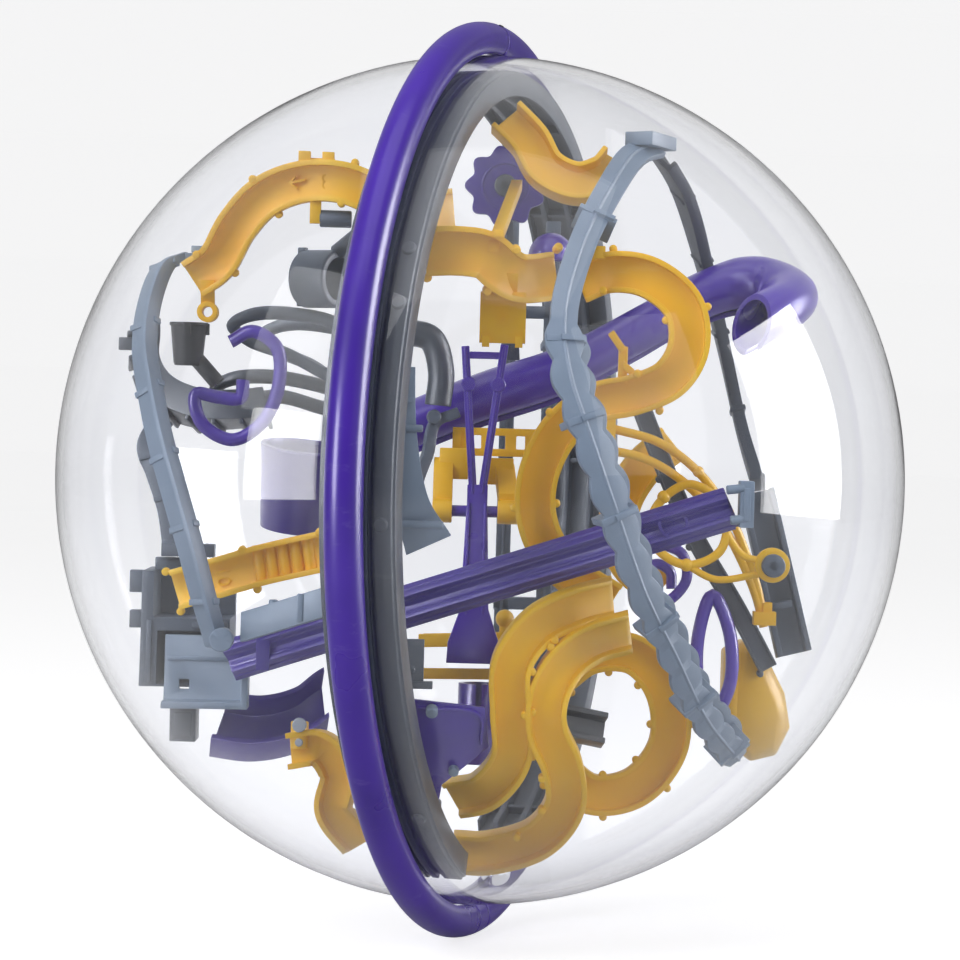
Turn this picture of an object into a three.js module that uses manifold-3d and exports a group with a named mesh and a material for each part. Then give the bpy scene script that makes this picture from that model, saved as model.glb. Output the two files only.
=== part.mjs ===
// A clear maze ball: two clear bowls in a purple ring, tracks pinned to a grey hoop inside, a steel ball.
// Millimetres, +Z up, origin at the ball's centre. The purple ring stands in the plane X = 0.
import * as THREE from 'three';
import Module from 'manifold-3d';

const wasm = await Module();
wasm.setup();

// Shell and ring
const SHELL_R = 98;
const SHELL_WALL = 2;
const FLANGE_LIP = 1.6;
const FLANGE_T = 1.5;
const HALF_GAP = 0.15;
const FIT_GAP = 0.3;
const RING_TUBE = 4.15;
const RING_FOOT_TRIM = 1.05;
const RING_STANDOFF = 0.4;
const RING_KEY_DEG = 4;
// What follows from them: the ring's slot and foot are cut to the flange and the shell.
const SHELL_IN = SHELL_R - SHELL_WALL;
const FLANGE_R = SHELL_R + FLANGE_LIP;
const RING_INNER = SHELL_R + RING_STANDOFF;
const RING_R = RING_INNER + RING_TUBE - RING_FOOT_TRIM;
const RING_SLOT_R = FLANGE_R + FIT_GAP;
const RING_SLOT_HALF = HALF_GAP + FLANGE_T + FIT_GAP;
const BOWL_SIDES = 32;
const BOWL_ROWS = 8;
// Grey hoop that carries the tracks
const HOOP_HALF = 9;
const HOOP_PLAY = 1.17719;
const HOOP_WALL = 3;
const HOOP_RIB_H = 2.8;
const HOOP_OPEN_DEG = 21;
const HOOP_OUT = Math.sqrt(SHELL_IN ** 2 - HOOP_HALF ** 2) - HOOP_PLAY;
const HOOP_IN = HOOP_OUT - HOOP_WALL;
const HOOP_RIB = HOOP_IN - HOOP_RIB_H;
// Tracks
const TRACK_W = 9;
const TRACK_H = 4.6;
const TRACK_WALL = 1.2;
const PIPE_R = 6.4;
const PIPE_WALL = 1.2;
const BEAM_W = 9.4;
const BEAM_T = 1.4;
const RAIL_W = 6.4;
const RAIL_T = 1.4;
const RAIL_DEPTH = 4.6;
const RAIL_SHIFT = 2.6;
const SCALLOPS = 15;
const SCALLOP_AMP = 1.1;
const SCALLOP_FROM = 0.36;
// Moving pieces
const BALL_R = 3.5;
const BALL_PLAY = 1.3;
const BALL_PATH_R = SHELL_IN - BALL_R - BALL_PLAY;
const BALL_SIDE_DEG = 4;
const PIVOT = [-0.5, 30, -6.5];
const PIN_R = 1.3;
const BORE_R = 1.6;
const EYE = [65.5, 36, -16.5];
const WHEEL = [4, 2, 68];
// The tracks are laid out square to a plane turned this far about Z from the ring's axis.
const TURN = THREE.MathUtils.degToRad(16.2);
// The layout is drawn inside a hoop of this radius and spreads with the hoop that is made.
const LAYOUT_HOOP = 91.4;
const SPREAD = HOOP_IN / LAYOUT_HOOP;

const PURPLE = 0x4b32aa;
const DEEP_PURPLE = 0x35207f;
const YELLOW = 0xe9b12c;
const PALE_GREY = 0x97a9b8;
const MID_GREY = 0x6d7c89;
const DARK_GREY = 0x3a4149;
const BLACK = 0x1d2024;
const CLEAR = 0xdde6f4;
const STEEL = 0xc9cdd2;

const ball = new THREE.Group();
ball.name = 'maze_ball';

// at: a place given as sideways, forward and up in the turned layout.
const at = (p) => new THREE.Vector3(
  p[0] * Math.cos(TURN) + p[1] * Math.sin(TURN),
  p[0] * Math.sin(TURN) - p[1] * Math.cos(TURN),
  p[2],
).multiplyScalar(SPREAD);

// solid: one closed body from points and triangles, turned outside out if it needs it.
const solid = (verts, faces) => {
  let volume = 0;
  for (const [a, b, c] of faces) {
    volume += verts[a].dot(verts[b].clone().cross(verts[c])) / 6;
  }
  const index = [];
  for (const [a, b, c] of faces) {
    index.push(...(volume > 0 ? [a, b, c] : [a, c, b]));
  }
  const geo = new THREE.BufferGeometry();
  geo.setAttribute('position', new THREE.Float32BufferAttribute(verts.flatMap((v) => v.toArray()), 3));
  geo.setIndex(index);
  return geo;
};

// skin: joins equal outlines placed one after another; ring = true closes the run on itself.
const skin = (rows, outline, ring = false) => {
  const n = outline.length;
  const verts = rows.flat();
  const faces = [];
  const last = ring ? rows.length : rows.length - 1;
  for (let i = 0; i < last; i += 1) {
    const r0 = i * n;
    const r1 = ((i + 1) % rows.length) * n;
    for (let j = 0; j < n; j += 1) {
      const k = (j + 1) % n;
      faces.push([r0 + j, r0 + k, r1 + k], [r0 + j, r1 + k, r1 + j]);
    }
  }
  if (!ring) {
    const flat = outline.map((q) => new THREE.Vector2(q[0], q[1]));
    const end = (rows.length - 1) * n;
    const way = THREE.ShapeUtils.area(flat) > 0 ? 1 : -1;
    for (const [a, b, c] of THREE.ShapeUtils.triangulateShape(flat, [])) {
      const turn = THREE.ShapeUtils.area([flat[a], flat[b], flat[c]]) > 0 ? 1 : -1;
      const [p, q] = turn === way ? [b, c] : [c, b];
      faces.push([a, q, p], [end + a, end + p, end + q]);
    }
  }
  return solid(verts, faces);
};

// sweep: carries an outline [side, up] along a smooth line through the given places.
const sweep = (places, outline, up, steps, ring = false) => {
  const line = new THREE.CatmullRomCurve3(places.map(at), ring, 'centripetal');
  const rows = [];
  const even = () => Array.from({ length: ring ? steps : steps + 1 }, (_, i) => i / steps);
  const stops = Array.isArray(steps) ? steps : even();
  let shape = outline;
  for (const t of stops) {
    const p = line.getPointAt(t);
    const along = line.getTangentAt(t);
    const lift = at(typeof up === 'function' ? up(t) : up);
    lift.addScaledVector(along, -lift.dot(along)).normalize();
    const side = along.clone().cross(lift);
    shape = typeof outline === 'function' ? outline(t) : outline;
    rows.push(shape.map((q) => p.clone().addScaledVector(side, q[0]).addScaledVector(lift, q[1])));
  }
  return skin(rows, shape, ring);
};

// disc: a round outline.
const disc = (r, n, ry = r) => {
  const out = [];
  for (let i = 0; i < n; i += 1) {
    const a = (i / n) * Math.PI * 2;
    out.push([r * Math.cos(a), ry * Math.sin(a)]);
  }
  return out;
};

// bar: a rectangular outline, standing from b0 to b1.
const bar = (w, b0, b1) => [[-w / 2, b0], [w / 2, b0], [w / 2, b1], [-w / 2, b1]];

// channel: a U outline, open on its upper side.
const channel = (w = TRACK_W, h = TRACK_H, t = TRACK_WALL) => [
  [-w / 2, 0], [w / 2, 0], [w / 2, h], [w / 2 - t, h],
  [w / 2 - t, t], [-w / 2 + t, t], [-w / 2 + t, h], [-w / 2, h],
];

const crossTo = (from, to) => {
  const d = at(to).sub(at(from)).normalize();
  return Math.abs(d.z) < 0.8 ? [0, 0, 1] : [0, 1, 0];
};

const rod = (from, to, r, n = 8) => sweep([from, to], disc(r, n), crossTo(from, to), 1);
const strut = (from, to, w, h) => sweep([from, to], bar(w, -h / 2, h / 2), crossTo(from, to), 1);
const block = (c, w, d, h) => {
  const half = h / 2 / SPREAD;
  return strut([c[0], c[1], c[2] - half], [c[0], c[1], c[2] + half], w, d);
};
// beside: a place given in true distances from another one, whatever the spread of the layout.
const beside = (p, ds, df, dz) => [p[0] + ds / SPREAD, p[1] + df / SPREAD, p[2] + dz / SPREAD];

// lathe: turns a closed outline [radius, along] about the line from one place towards another.
const lathe = (outline, from, to, n = 16) => {
  const o = at(from);
  const z = at(to).sub(o).normalize();
  const x = new THREE.Vector3(0.31, 0.2, 0.9).cross(z).normalize();
  const y = z.clone().cross(x);
  const rows = [];
  for (let i = 0; i < n; i += 1) {
    const a = (i / n) * Math.PI * 2;
    rows.push(outline.map((q) => o.clone()
      .addScaledVector(x, q[0] * Math.cos(a))
      .addScaledVector(y, q[0] * Math.sin(a))
      .addScaledVector(z, q[1])));
  }
  return skin(rows, outline, true);
};

const tube = (from, to, ro, ri, n = 16) => {
  const l = at(to).distanceTo(at(from));
  return lathe([[ri, 0], [ro, 0], [ro, l], [ri, l]], from, to, n);
};

// weld: the same body with equal points merged, in the form the joins need.
const weld = (geo) => {
  const pos = geo.getAttribute('position');
  const index = geo.getIndex();
  const count = index ? index.count : pos.count;
  const seen = new Map();
  const verts = [];
  const faces = [];
  for (let i = 0; i < count; i += 1) {
    const k = index ? index.getX(i) : i;
    const v = [pos.getX(k), pos.getY(k), pos.getZ(k)];
    const key = v.map((q) => Math.round(q * 1e4)).join();
    if (!seen.has(key)) {
      seen.set(key, verts.length / 3);
      verts.push(...v);
    }
    faces.push(seen.get(key));
  }
  const mesh = new wasm.Mesh({
    numProp: 3,
    vertProperties: new Float32Array(verts),
    triVerts: new Uint32Array(faces),
  });
  return new wasm.Manifold(mesh);
};

const unweld = (body) => {
  const mesh = body.getMesh();
  const geo = new THREE.BufferGeometry();
  geo.setAttribute('position', new THREE.Float32BufferAttribute(Array.from(mesh.vertProperties), 3));
  geo.setIndex(Array.from(mesh.triVerts));
  return geo;
};

const join = (...geos) => unweld(geos.map(weld).reduce((a, b) => a.add(b)));
const cut = (geo, ...tools) => unweld(tools.map(weld).reduce((a, b) => a.subtract(b), weld(geo)));

const add = (name, geo, color, roughness = 0.45, metalness = 0) => {
  const mesh = new THREE.Mesh(geo, new THREE.MeshStandardMaterial({ color, roughness, metalness }));
  mesh.name = name;
  ball.add(mesh);
  return mesh;
};

// ---- Shell ----

const bowlOutline = () => {
  const inner = SHELL_IN;
  const rim = HALF_GAP + FLANGE_T;
  const out = [];
  for (let i = 0; i < BOWL_ROWS; i += 1) {
    const a = ((i + 0.5) / (BOWL_ROWS + 0.5)) * (Math.PI / 2);
    out.push([SHELL_R * Math.sin(a), SHELL_R * Math.cos(a)]);
  }
  out.push([Math.sqrt(SHELL_R ** 2 - rim ** 2), rim], [FLANGE_R, rim]);
  out.push([FLANGE_R, HALF_GAP], [Math.sqrt(inner ** 2 - HALF_GAP ** 2), HALF_GAP]);
  for (let i = BOWL_ROWS - 1; i >= 0; i -= 1) {
    const a = ((i + 0.5) / (BOWL_ROWS + 0.5)) * (Math.PI / 2);
    out.push([inner * Math.sin(a), inner * Math.cos(a)]);
  }
  return out;
};

const bowl = (sign) => {
  const outline = bowlOutline();
  const n = outline.length;
  const verts = [];
  const faces = [];
  for (let i = 0; i < BOWL_SIDES; i += 1) {
    const a = (i / BOWL_SIDES) * Math.PI * 2;
    verts.push(...outline.map((q) => new THREE.Vector3(sign * q[1], q[0] * Math.cos(a), q[0] * Math.sin(a))));
    const r0 = i * n;
    const r1 = ((i + 1) % BOWL_SIDES) * n;
    for (let j = 0; j < n - 1; j += 1) {
      faces.push([r0 + j, r1 + j + 1, r0 + j + 1], [r0 + j, r1 + j, r1 + j + 1]);
    }
  }
  const poleOut = verts.push(new THREE.Vector3(sign * SHELL_R, 0, 0)) - 1;
  const poleIn = verts.push(new THREE.Vector3(sign * SHELL_IN, 0, 0)) - 1;
  for (let i = 0; i < BOWL_SIDES; i += 1) {
    const r0 = i * n;
    const r1 = ((i + 1) % BOWL_SIDES) * n;
    faces.push([poleOut, r1, r0], [poleIn, r0 + n - 1, r1 + n - 1]);
  }
  return solid(verts, faces);
};

add('clear_bowl_left', bowl(-1), CLEAR, 0.05);
add('clear_bowl_right', bowl(1), CLEAR, 0.05);

// ---- Purple ring ----

const ringOutline = () => {
  const out = [];
  const low = Math.asin((RING_INNER - RING_R) / RING_TUBE);
  for (let i = 0; i <= 11; i += 1) {
    const a = low + (i / 11) * (Math.PI - 2 * low);
    out.push([RING_TUBE * Math.cos(a), RING_TUBE * Math.sin(a)]);
  }
  const foot = RING_INNER - RING_R;
  const slot = RING_SLOT_R - RING_R;
  out.push([-RING_SLOT_HALF, foot], [-RING_SLOT_HALF, slot], [RING_SLOT_HALF, slot], [RING_SLOT_HALF, foot]);
  return out;
};

// arc: an outline [across X, outward] carried round the X axis between two angles from +Z towards -Y.
const arc = (outline, radius, from, to, steps) => {
  const rows = [];
  for (let i = 0; i <= steps; i += 1) {
    const a = THREE.MathUtils.degToRad(from + ((to - from) * i) / steps);
    const out = new THREE.Vector3(0, -Math.sin(a), Math.cos(a));
    rows.push(outline.map((q) => out.clone().multiplyScalar(radius + q[1]).setX(q[0])));
  }
  return skin(rows, outline);
};

const SEAM = 0.09;
add('ring_front_half', arc(ringOutline(), RING_R, SEAM, 180 - RING_KEY_DEG / 2 - SEAM, 26), PURPLE, 0.35);
add('ring_rear_half', arc(ringOutline(), RING_R, -SEAM, RING_KEY_DEG / 2 + SEAM - 180, 26), PURPLE, 0.35);
add('ring_closing_piece', arc(
  ringOutline(), RING_R, 180 - RING_KEY_DEG / 2 + SEAM, 180 + RING_KEY_DEG / 2 - SEAM, 2,
), PURPLE, 0.35);

// ---- Grey hoop ----

const hoopOutline = () => {
  const out = [[HOOP_HALF, HOOP_OUT], [-HOOP_HALF, HOOP_OUT]];
  const ribs = [-HOOP_HALF, -HOOP_HALF / 3, HOOP_HALF / 3, HOOP_HALF];
  for (let i = 0; i < ribs.length; i += 1) {
    const w = 0.7;
    const x0 = i === 0 ? ribs[i] : ribs[i] - w;
    const x1 = i === ribs.length - 1 ? ribs[i] : ribs[i] + w;
    if (i > 0) out.push([x0, HOOP_IN]);
    out.push([x0, HOOP_RIB], [x1, HOOP_RIB]);
    if (i < ribs.length - 1) out.push([x1, HOOP_IN]);
  }
  return out;
};

add('equator_hoop', arc(hoopOutline(), 0, 180 - HOOP_OPEN_DEG, HOOP_OPEN_DEG - 180, 28), DARK_GREY, 0.5);

// ---- Upper left ----

const S_TRACK = [
  [-65.5, 27, 43.5], [-60, 30, 47.5], [-55.5, 32, 55.5], [-49.5, 34, 62], [-41, 36, 65.5],
  [-32, 38, 65.5], [-22, 38, 62], [-13, 34, 60.5], [-7.5, 28, 61],
];
add('upper_left_track', join(
  sweep(S_TRACK, channel(), [0, 1, 0], 20),
  block([-38, 39, 70.6], 8, 3, 2.4),
  strut([-38, 39, 62.5], [-38, 39, 56.5], 2.4, 3),
  tube([-62, 25, 36.5], [-62, 31, 36.5], 2.3, 1.2, 10),
  strut([-62, 29, 38.3], [-62, 31, 43.5], 3, 2.6),
), YELLOW);

const LEFT_RAIL = [
  [-68, 20, 49], [-72, 26, 46.5], [-74.5, 32, 38.5], [-75, 38, 28.5], [-73, 44, 18.5],
  [-70, 50, 7.5], [-66.5, 54, -3], [-62.5, 57, -15], [-59, 57, -27], [-56, 54, -37],
];
add('left_outer_rail', join(
  sweep(LEFT_RAIL, [
    [-3.2, -0.7], [3.2, -0.7], [3.2, 0.7], [-1.8, 0.7], [-1.8, 3.4], [-3.2, 3.4],
  ], [-0.6, 0.8, 0.2], 20),
  lathe([[0.01, 0], [2.6, 0], [2.6, 4], [0.01, 4]], [-55, 56, -35], [-55, 60.5, -35], 12),
), PALE_GREY);

add('left_drum', join(
  tube([-41, 14, 45], [-33, 20, 45], 6.6, 4.9, 18),
  rod([-34, 19, 51], [-29, 23, 55], 1.8, 8),
), MID_GREY);

const loopLine = (s0, s1, f, z, drop) => [
  [s0, f, z], [s0 + 4, f + 3, z + 2.4], [(s0 + s1) / 2, f + 4.5, z + 3], [s1, f + 3.5, z],
  [s1 + 3, f - 0.5, z - drop], [s1 - 2, f - 4, z - drop - 2],
  [(s0 + s1) / 2, f - 4.5, z - drop * 0.7], [s0 + 3, f - 3, z - 3],
];
add('wire_loop_front', sweep(loopLine(-57.5, -32, 10, 34, 9), disc(1.6, 6), [0, 0, 1], 20, true), MID_GREY);
add('wire_loop_rear', sweep(loopLine(-51.5, -29, -4, 32, 9), disc(1.6, 6), [0, 0, 1], 20, true), MID_GREY);
add('wire_loop_low', sweep(loopLine(-62, -33, -4, 19.5, 2), disc(1.7, 6), [0, 0, 1], 20, true), DARK_GREY);

add('black_cup', join(
  lathe([
    [0.6, 0], [3.1, 0], [4.2, 9.5], [3.2, 9.5], [2.2, 1.4], [0.6, 1.4],
  ], [-67, 18, 24.5], [-67, 18, 40], 14),
  rod([-65, 18, 26], [-60, 18, 20.5], 1.8, 8),
), BLACK, 0.4);

add('left_dark_trough', join(
  sweep([
    [-82.5, -8, 31], [-81, -6, 22], [-75.5, -2, 15], [-66, 2, 11.5], [-56, 4, 11.5], [-49, 4, 12.5],
  ], channel(11, 7, 1.4), (t) => [0.9 - 1.1 * t, -0.2, 0.4 + 0.6 * t], 14),
  strut([-85.5, -6, 29.5], [-80, -6, 29.5], 3, 3),
), DARK_GREY);

add('purple_hook_rod', sweep([
  [-57, 26, 30], [-52, 27, 32.5], [-46.5, 27, 29], [-46, 26, 20], [-49.5, 25, 12], [-56, 25, 8],
  [-63, 25, 11.5], [-64.5, 25, 18], [-59.5, 25, 17.5], [-54.5, 25, 17.5], [-54, 25, 21.5],
], disc(1.4, 6), [0, 1, 0.1], 26), PURPLE, 0.35);

add('purple_funnel', lathe([
  [7.2, 0], [8.5, 0], [10.5, 20], [9.2, 20],
], [-43, -14, -13], [-40.5, -10, 14], 18), DEEP_PURPLE, 0.4);

add('left_upright', join(
  sweep([
    [-73.5, 6, 12], [-76.5, 8, 6], [-74, 12, 0], [-71, 14, -8], [-69.5, 15, -16],
  ], bar(5, -1.2, 1.2), [0, 1, 0], 8),
  block([-66, 15, -17.5], 12, 6, 3),
), MID_GREY);

// ---- Lower left ----

const BOX = [-65.5, 14, -35];
add('scoop_box', join(
  cut(
    block(BOX, 20, 22, 26),
    block(beside(BOX, 1.7, 3, 9), 18, 22, 13),
    block(beside(BOX, 1.3, 3, -6.5), 15, 22, 12),
  ),
  block(beside(BOX, -11.1, 8, 10.5), 3.6, 3, 5),
  block(beside(BOX, -10.9, 8, 2), 3.6, 3, 4),
), MID_GREY);

const waves = [];
for (let i = 0; i < 5; i += 1) {
  const t = i / 4;
  waves.push(rod(
    [-47.5 + 11 * t, 40.3 + 3 * t, -23.6 + 2.6 * t],
    [-49 + 11 * t, 40.3 + 3 * t, -15 + 2.6 * t],
    1.3, 6,
  ));
}
add('wave_track', join(
  sweep([
    [-67, 36, -25.5], [-58.5, 37.5, -22.8], [-48, 39.5, -19.4], [-33, 43, -15.5],
  ], channel(), [0, 1, 0], 4),
  ...waves,
), YELLOW);

add('left_grey_beam', join(
  strut([-50.5, 56.5, -32.3], [-21, 70, -22], 3, 6.5),
  rod([-44, 59.8, -32.5], [-44, 59.8, -26], 1, 6),
), PALE_GREY);

const TRAY = [-60, 31.4, -44];
add('left_tray', cut(
  block(TRAY, 19, 7.2, 16),
  block(beside(TRAY, -2, 1.8, 2), 19.8, 7.2, 16.8),
), PALE_GREY);

add('purple_lower_trough', join(
  sweep([
    [-59, 6, -60], [-50, 9, -60.5], [-41, 14, -58], [-34, 20, -53],
  ], channel(13, 9, 1.4), [0.1, 0.9, 0.6], 8),
), DEEP_PURPLE);
add('trough_end_cap', block([-66.5, 8, -57.5], 6, 10, 8), DARK_GREY);

add('yellow_pin_bracket', join(
  sweep([
    [-40, 37, -60.5], [-33, 36, -60], [-29, 34, -66], [-30, 30, -74], [-24, 26, -82],
  ], channel(8, 4, 1.2), [-0.3, 1, 0], 10),
  rod([-38.5, 38, -60], [-38.5, 38, -54], 2, 8),
), YELLOW);

// ---- Middle ----

const BEAM_OUTLINE = [
  [-BEAM_W / 2, 0], [-BEAM_W / 4, 2.4], [0, 0.6], [BEAM_W / 4, 2.4], [BEAM_W / 2, 0],
  [BEAM_W / 2, -BEAM_T], [BEAM_W / 4, 2.4 - BEAM_T], [0, 0.6 - BEAM_T],
  [-BEAM_W / 4, 2.4 - BEAM_T], [-BEAM_W / 2, -BEAM_T],
];
add('long_purple_beam', sweep([[-54.5, 37, -41], [54, 62, -3.5]], BEAM_OUTLINE, [0, 1, 0], 1), PURPLE, 0.35);

const [ps, pf, pz] = PIVOT;
add('fork_arm', join(
  strut([ps - 1, pf, pz + 4], [ps - 3.6, pf, pz + 37], 1.8, 2.6),
  strut([ps + 1, pf, pz + 4], [ps + 5.2, pf, pz + 37.5], 1.8, 2.6),
  strut([ps - 2.6, pf, pz + 35], [ps + 4.2, pf, pz + 35], 2, 1.6),
  rod([ps - 2.6, pf - 2.2, pz + 28.5], [ps - 2.6, pf + 2.2, pz + 28.5], 1.7, 8),
  rod([ps + 4, pf - 2.2, pz + 28.5], [ps + 4, pf + 2.2, pz + 28.5], 1.7, 8),
  strut([ps, pf, pz + 6], [ps, pf, pz - 24], 4.6, 3),
  rod([ps - 9.2, pf, pz], [ps + 8.8, pf, pz], PIN_R, 12),
  skin([0, 1, 2, 3].map((i) => {
    const w = [4.8, 6.4, 11.5, 12][i] / 2;
    const h = [0, -22, -29.5, -34][i] + pz;
    const d = [1.5, 1.8, 3, 3][i];
    return [[-w, d], [w, d], [w, -d], [-w, -d]].map((q) => at([ps + q[0], pf + q[1], h]));
  }), [[-1, 1], [1, 1], [1, -1], [-1, -1]]),
), PURPLE, 0.35);

const bearing = (s0, s1) => tube([s0, pf, pz], [s1, pf, pz], 2.7, BORE_R, 12);
add('bearing_left', join(
  bearing(ps - 10, ps - 5.6),
  strut([ps - 7.8, pf, pz + 2.2], [ps - 7.8, pf - 6, pz + 10], 4.4, 4),
  block([ps - 5.5, pf - 7, pz + 10.5], 6.5, 4, 7),
), YELLOW);
add('bearing_right', join(
  bearing(ps + 4.6, ps + 9.2),
  strut([ps + 7, pf, pz + 2.2], [ps + 6, pf - 6, pz + 9], 4.4, 4),
  block([ps + 5, pf - 7, pz + 9], 6, 4, 6),
), YELLOW);

add('slotted_tube', cut(
  tube([1, 30, -63], [1, 30, -45], 4.6, 3.4, 16),
  block([1, 34, -48], 1.2, 6, 8),
), PURPLE, 0.35);

// The plate's outline is measured from the wall of the lane beside it.
const SIDE_PLATE = [
  [-9, -46.5], [7, -48], [8, -57], [2.5, -62], [-2, -66], [-3.5, -75.5], [-8, -66], [-10, -56],
];
add('purple_side_plate', skin([61, 63].map((f) => (
  SIDE_PLATE.map((q) => at([q[0] - TRACK_W / 2, f - 0.62 * (Math.abs(q[1]) - 46), q[1]]))
)), SIDE_PLATE), PURPLE, 0.35);

add('cross_bars', join(
  strut([-13, 19, -36.5], [10, 19, -35.5], 2, 3),
  strut([-13, 30, -43.2], [10, 30, -42.8], 2, 2.4),
  strut([9, 18.5, -35.8], [9, 31, -43], 2.4, 2.4),
  rod([6.5, 19, -35.5], [6.5, 19, -32], 1.2, 8),
  new THREE.SphereGeometry(2.1, 10, 6).translate(...at([6.5, 19, -31]).toArray()),
), YELLOW);

const DROP = [4, 53, 36.5];
add('centre_track', join(
  sweep([
    [-13, 61, 50], [-6, 62, 50.3], [0, 61.5, 49.5], [4, 59.5, 46.5], [8, 55, 45], [15.5, 49, 46],
  ], channel(10.5, 4.6, 1.2), [0, 1, 0], 10),
  cut(
    block(DROP, 10, 9, 11),
    block(beside(DROP, 0, 0, -3.5), 7.4, 6.4, 14),
  ),
  strut([4, 55, 40.5], [4, 59, 46], 6, 2.4),
  strut([1.5, 63, 51.5], [6.5, 21, 67.3], 2.4, 2.4),
), YELLOW);

const wheelEdge = [];
for (let i = 0; i < 36; i += 1) {
  const a = (i / 36) * Math.PI * 2;
  const r = 8.6 + 0.8 * Math.cos(9 * a);
  wheelEdge.push([r * Math.cos(a), r * Math.sin(a)]);
}
add('purple_wheel', cut(
  sweep([[WHEEL[0], 0.5, WHEEL[2]], [WHEEL[0], 4.5, WHEEL[2]]], wheelEdge, [0, 0, 1], 1),
  rod([WHEEL[0], -3, WHEEL[2]], [WHEEL[0], 8, WHEEL[2]], BORE_R, 12),
), DEEP_PURPLE, 0.35);
add('wheel_axle', join(
  rod([WHEEL[0], -6, WHEEL[2]], [WHEEL[0], 7, WHEEL[2]], PIN_R, 12),
  rod([WHEEL[0], 4.9, WHEEL[2]], [WHEEL[0], 7, WHEEL[2]], 2.6, 12),
  strut([WHEEL[0], -5.5, WHEEL[2] + 1], [WHEEL[0] + 3, -5.5, WHEEL[2] - 40], 3, 3),
), DARK_GREY);

add('purple_dome', lathe([[0.01, 0], [5.2, 0], [5, 2.5], [4, 4.6], [2.4, 5.8], [0.01, 6.3]],
  [14.5, 30, 50], [14.5, 30, 60], 14), PURPLE, 0.35);

const LADDER = [3, 17, 9];
add('ladder_strip', cut(
  block(LADDER, 19, 2, 6.4),
  block(beside(LADDER, -4.5, 0, 0), 3, 6, 3),
  block(beside(LADDER, 1, 0, 0), 3, 6, 3),
  block(beside(LADDER, 6, 0, 0), 2, 6, 3),
), YELLOW);

add('hook_frame', sweep([
  [-5.5, 21.5, 15.5], [-10.5, 21.5, 13], [-12, 24, 6], [-14, 27, 0], [-15, 28, -7],
], bar(2.4, -1.2, 1.2), [0.4, 1, 0.2], 8), MID_GREY);

add('dark_elbow', sweep([
  [-18, 22, 33.5], [-12, 22, 32], [-9.5, 22, 25], [-10, 22, 17],
], disc(3, 8), [0, 1, 0], 10), DARK_GREY);

add('rear_posts', join(
  strut([6, -34, 66], [6, -34, -60], 3.5, 3),
  strut([16, -34, 62], [16, -34, -62], 3.5, 3),
  strut([4, -34, 40], [18, -34, 40], 3, 3),
  strut([4, -34, -30], [18, -34, -30], 3, 3),
), MID_GREY);

add('curved_side_plate', sweep([
  [-18, 75, 24], [-18, 77, 10], [-16.5, 76, -4], [-12.5, 70, -13],
], (t) => bar(3 + 7 * t * t, -1, 1), [0, 1, 0.1], 8), PALE_GREY);

add('hoop_side_plates', join(
  block([-16, 64, -38.5], 10, 1.6, 10),
  block([-15, 64.5, -43.3], 12, 3, 1.6),
  sweep([[-19, 64.5, -41], [-18.5, 50, -58], [-14, 38, -70]], bar(8, -0.8, 0.8), [0, 1, -0.3], 5),
), DARK_GREY);

// ---- Right ----

add('top_s_track', sweep([
  [3.5, 21, 81.5], [9, 23, 76], [13, 26, 69.5], [20, 28, 66.5], [26, 27, 68.5], [29.5, 23, 72.5],
], channel(), [0, 1, 0.4], 13), YELLOW);

add('loop_track', join(
  sweep([
    [20.5, 48, 44.5], [27, 51, 47], [35.5, 53, 46], [43, 54, 40], [44.5, 54, 31.5],
    [41, 53, 24.5], [33, 50, 20.5], [25, 48, 18.5], [17.5, 45, 12.5], [13, 42, 3],
    [12.5, 40, -6], [15.5, 39, -14], [22.5, 39, -21], [30, 40, -25.5],
  ], channel(), [0, 1, 0], 28),
  block([30.5, 51.5, 27], 2, 3, 8),
), YELLOW);

const PIPE = [
  [-18, 8, 11], [-0.5, 8, 18.5], [17.5, 8, 25], [35.5, 5, 35], [48, 2.5, 42.5], [58.5, 2, 46.5],
  [66.5, 6, 46.5], [69, 14, 44], [66, 21.5, 40.5], [60, 27, 37],
];
const pipeShape = (t) => {
  const r = PIPE_R + Math.max(0, t - 0.55) * 1.6;
  const angle = (i) => THREE.MathUtils.degToRad(250 - (i / 8) * 320);
  const outer = Array.from({ length: 9 }, (_, i) => [r * Math.cos(angle(i)), r * Math.sin(angle(i))]);
  const inner = outer.map((q) => [q[0] * (1 - PIPE_WALL / r), q[1] * (1 - PIPE_WALL / r)]).reverse();
  return [...outer, ...inner];
};
add('purple_pipe', sweep(PIPE, pipeShape, [0, -0.3, 1], 18), PURPLE, 0.35);

const ARCH = [
  [37.5, 19, 77], [33, 27, 75], [27, 44, 66], [20.5, 61, 52], [17, 72, 37], [18.5, 78, 24.5],
  [23.5, 80, 10.5], [29.5, 77.5, -5.5], [36, 71, -22], [43.5, 60, -36], [51, 45, -50], [60, 24, -61],
];
const archLine = new THREE.CatmullRomCurve3(ARCH.map((q) => new THREE.Vector3(...q)), false, 'centripetal');
const outward = (t) => archLine.getPointAt(t).normalize().toArray();
const scallop = (t) => {
  const u = (t - SCALLOP_FROM) / (1 - SCALLOP_FROM);
  return u > 0 ? SCALLOP_AMP * (1 - 0.3 * u) * Math.abs(Math.sin(Math.PI * SCALLOPS * u)) : 0;
};
const railFace = (t) => {
  const w = (RAIL_W / 2) * (1 - 0.2 * t) + scallop(t);
  return [[-w, 0], [0, 1.2], [w, 0], [w, -RAIL_T], [0, 1.2 - RAIL_T], [-w, -RAIL_T]];
};
const railBack = (t) => {
  const w = (RAIL_W / 2) * (1 - 0.2 * t);
  const edge = w + RAIL_SHIFT + scallop(t);
  const low = -RAIL_DEPTH - 1.2;
  return [[2.2 - w, -RAIL_DEPTH], [-edge, -RAIL_DEPTH], [-edge, low], [2.2 - w, low]];
};
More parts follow.
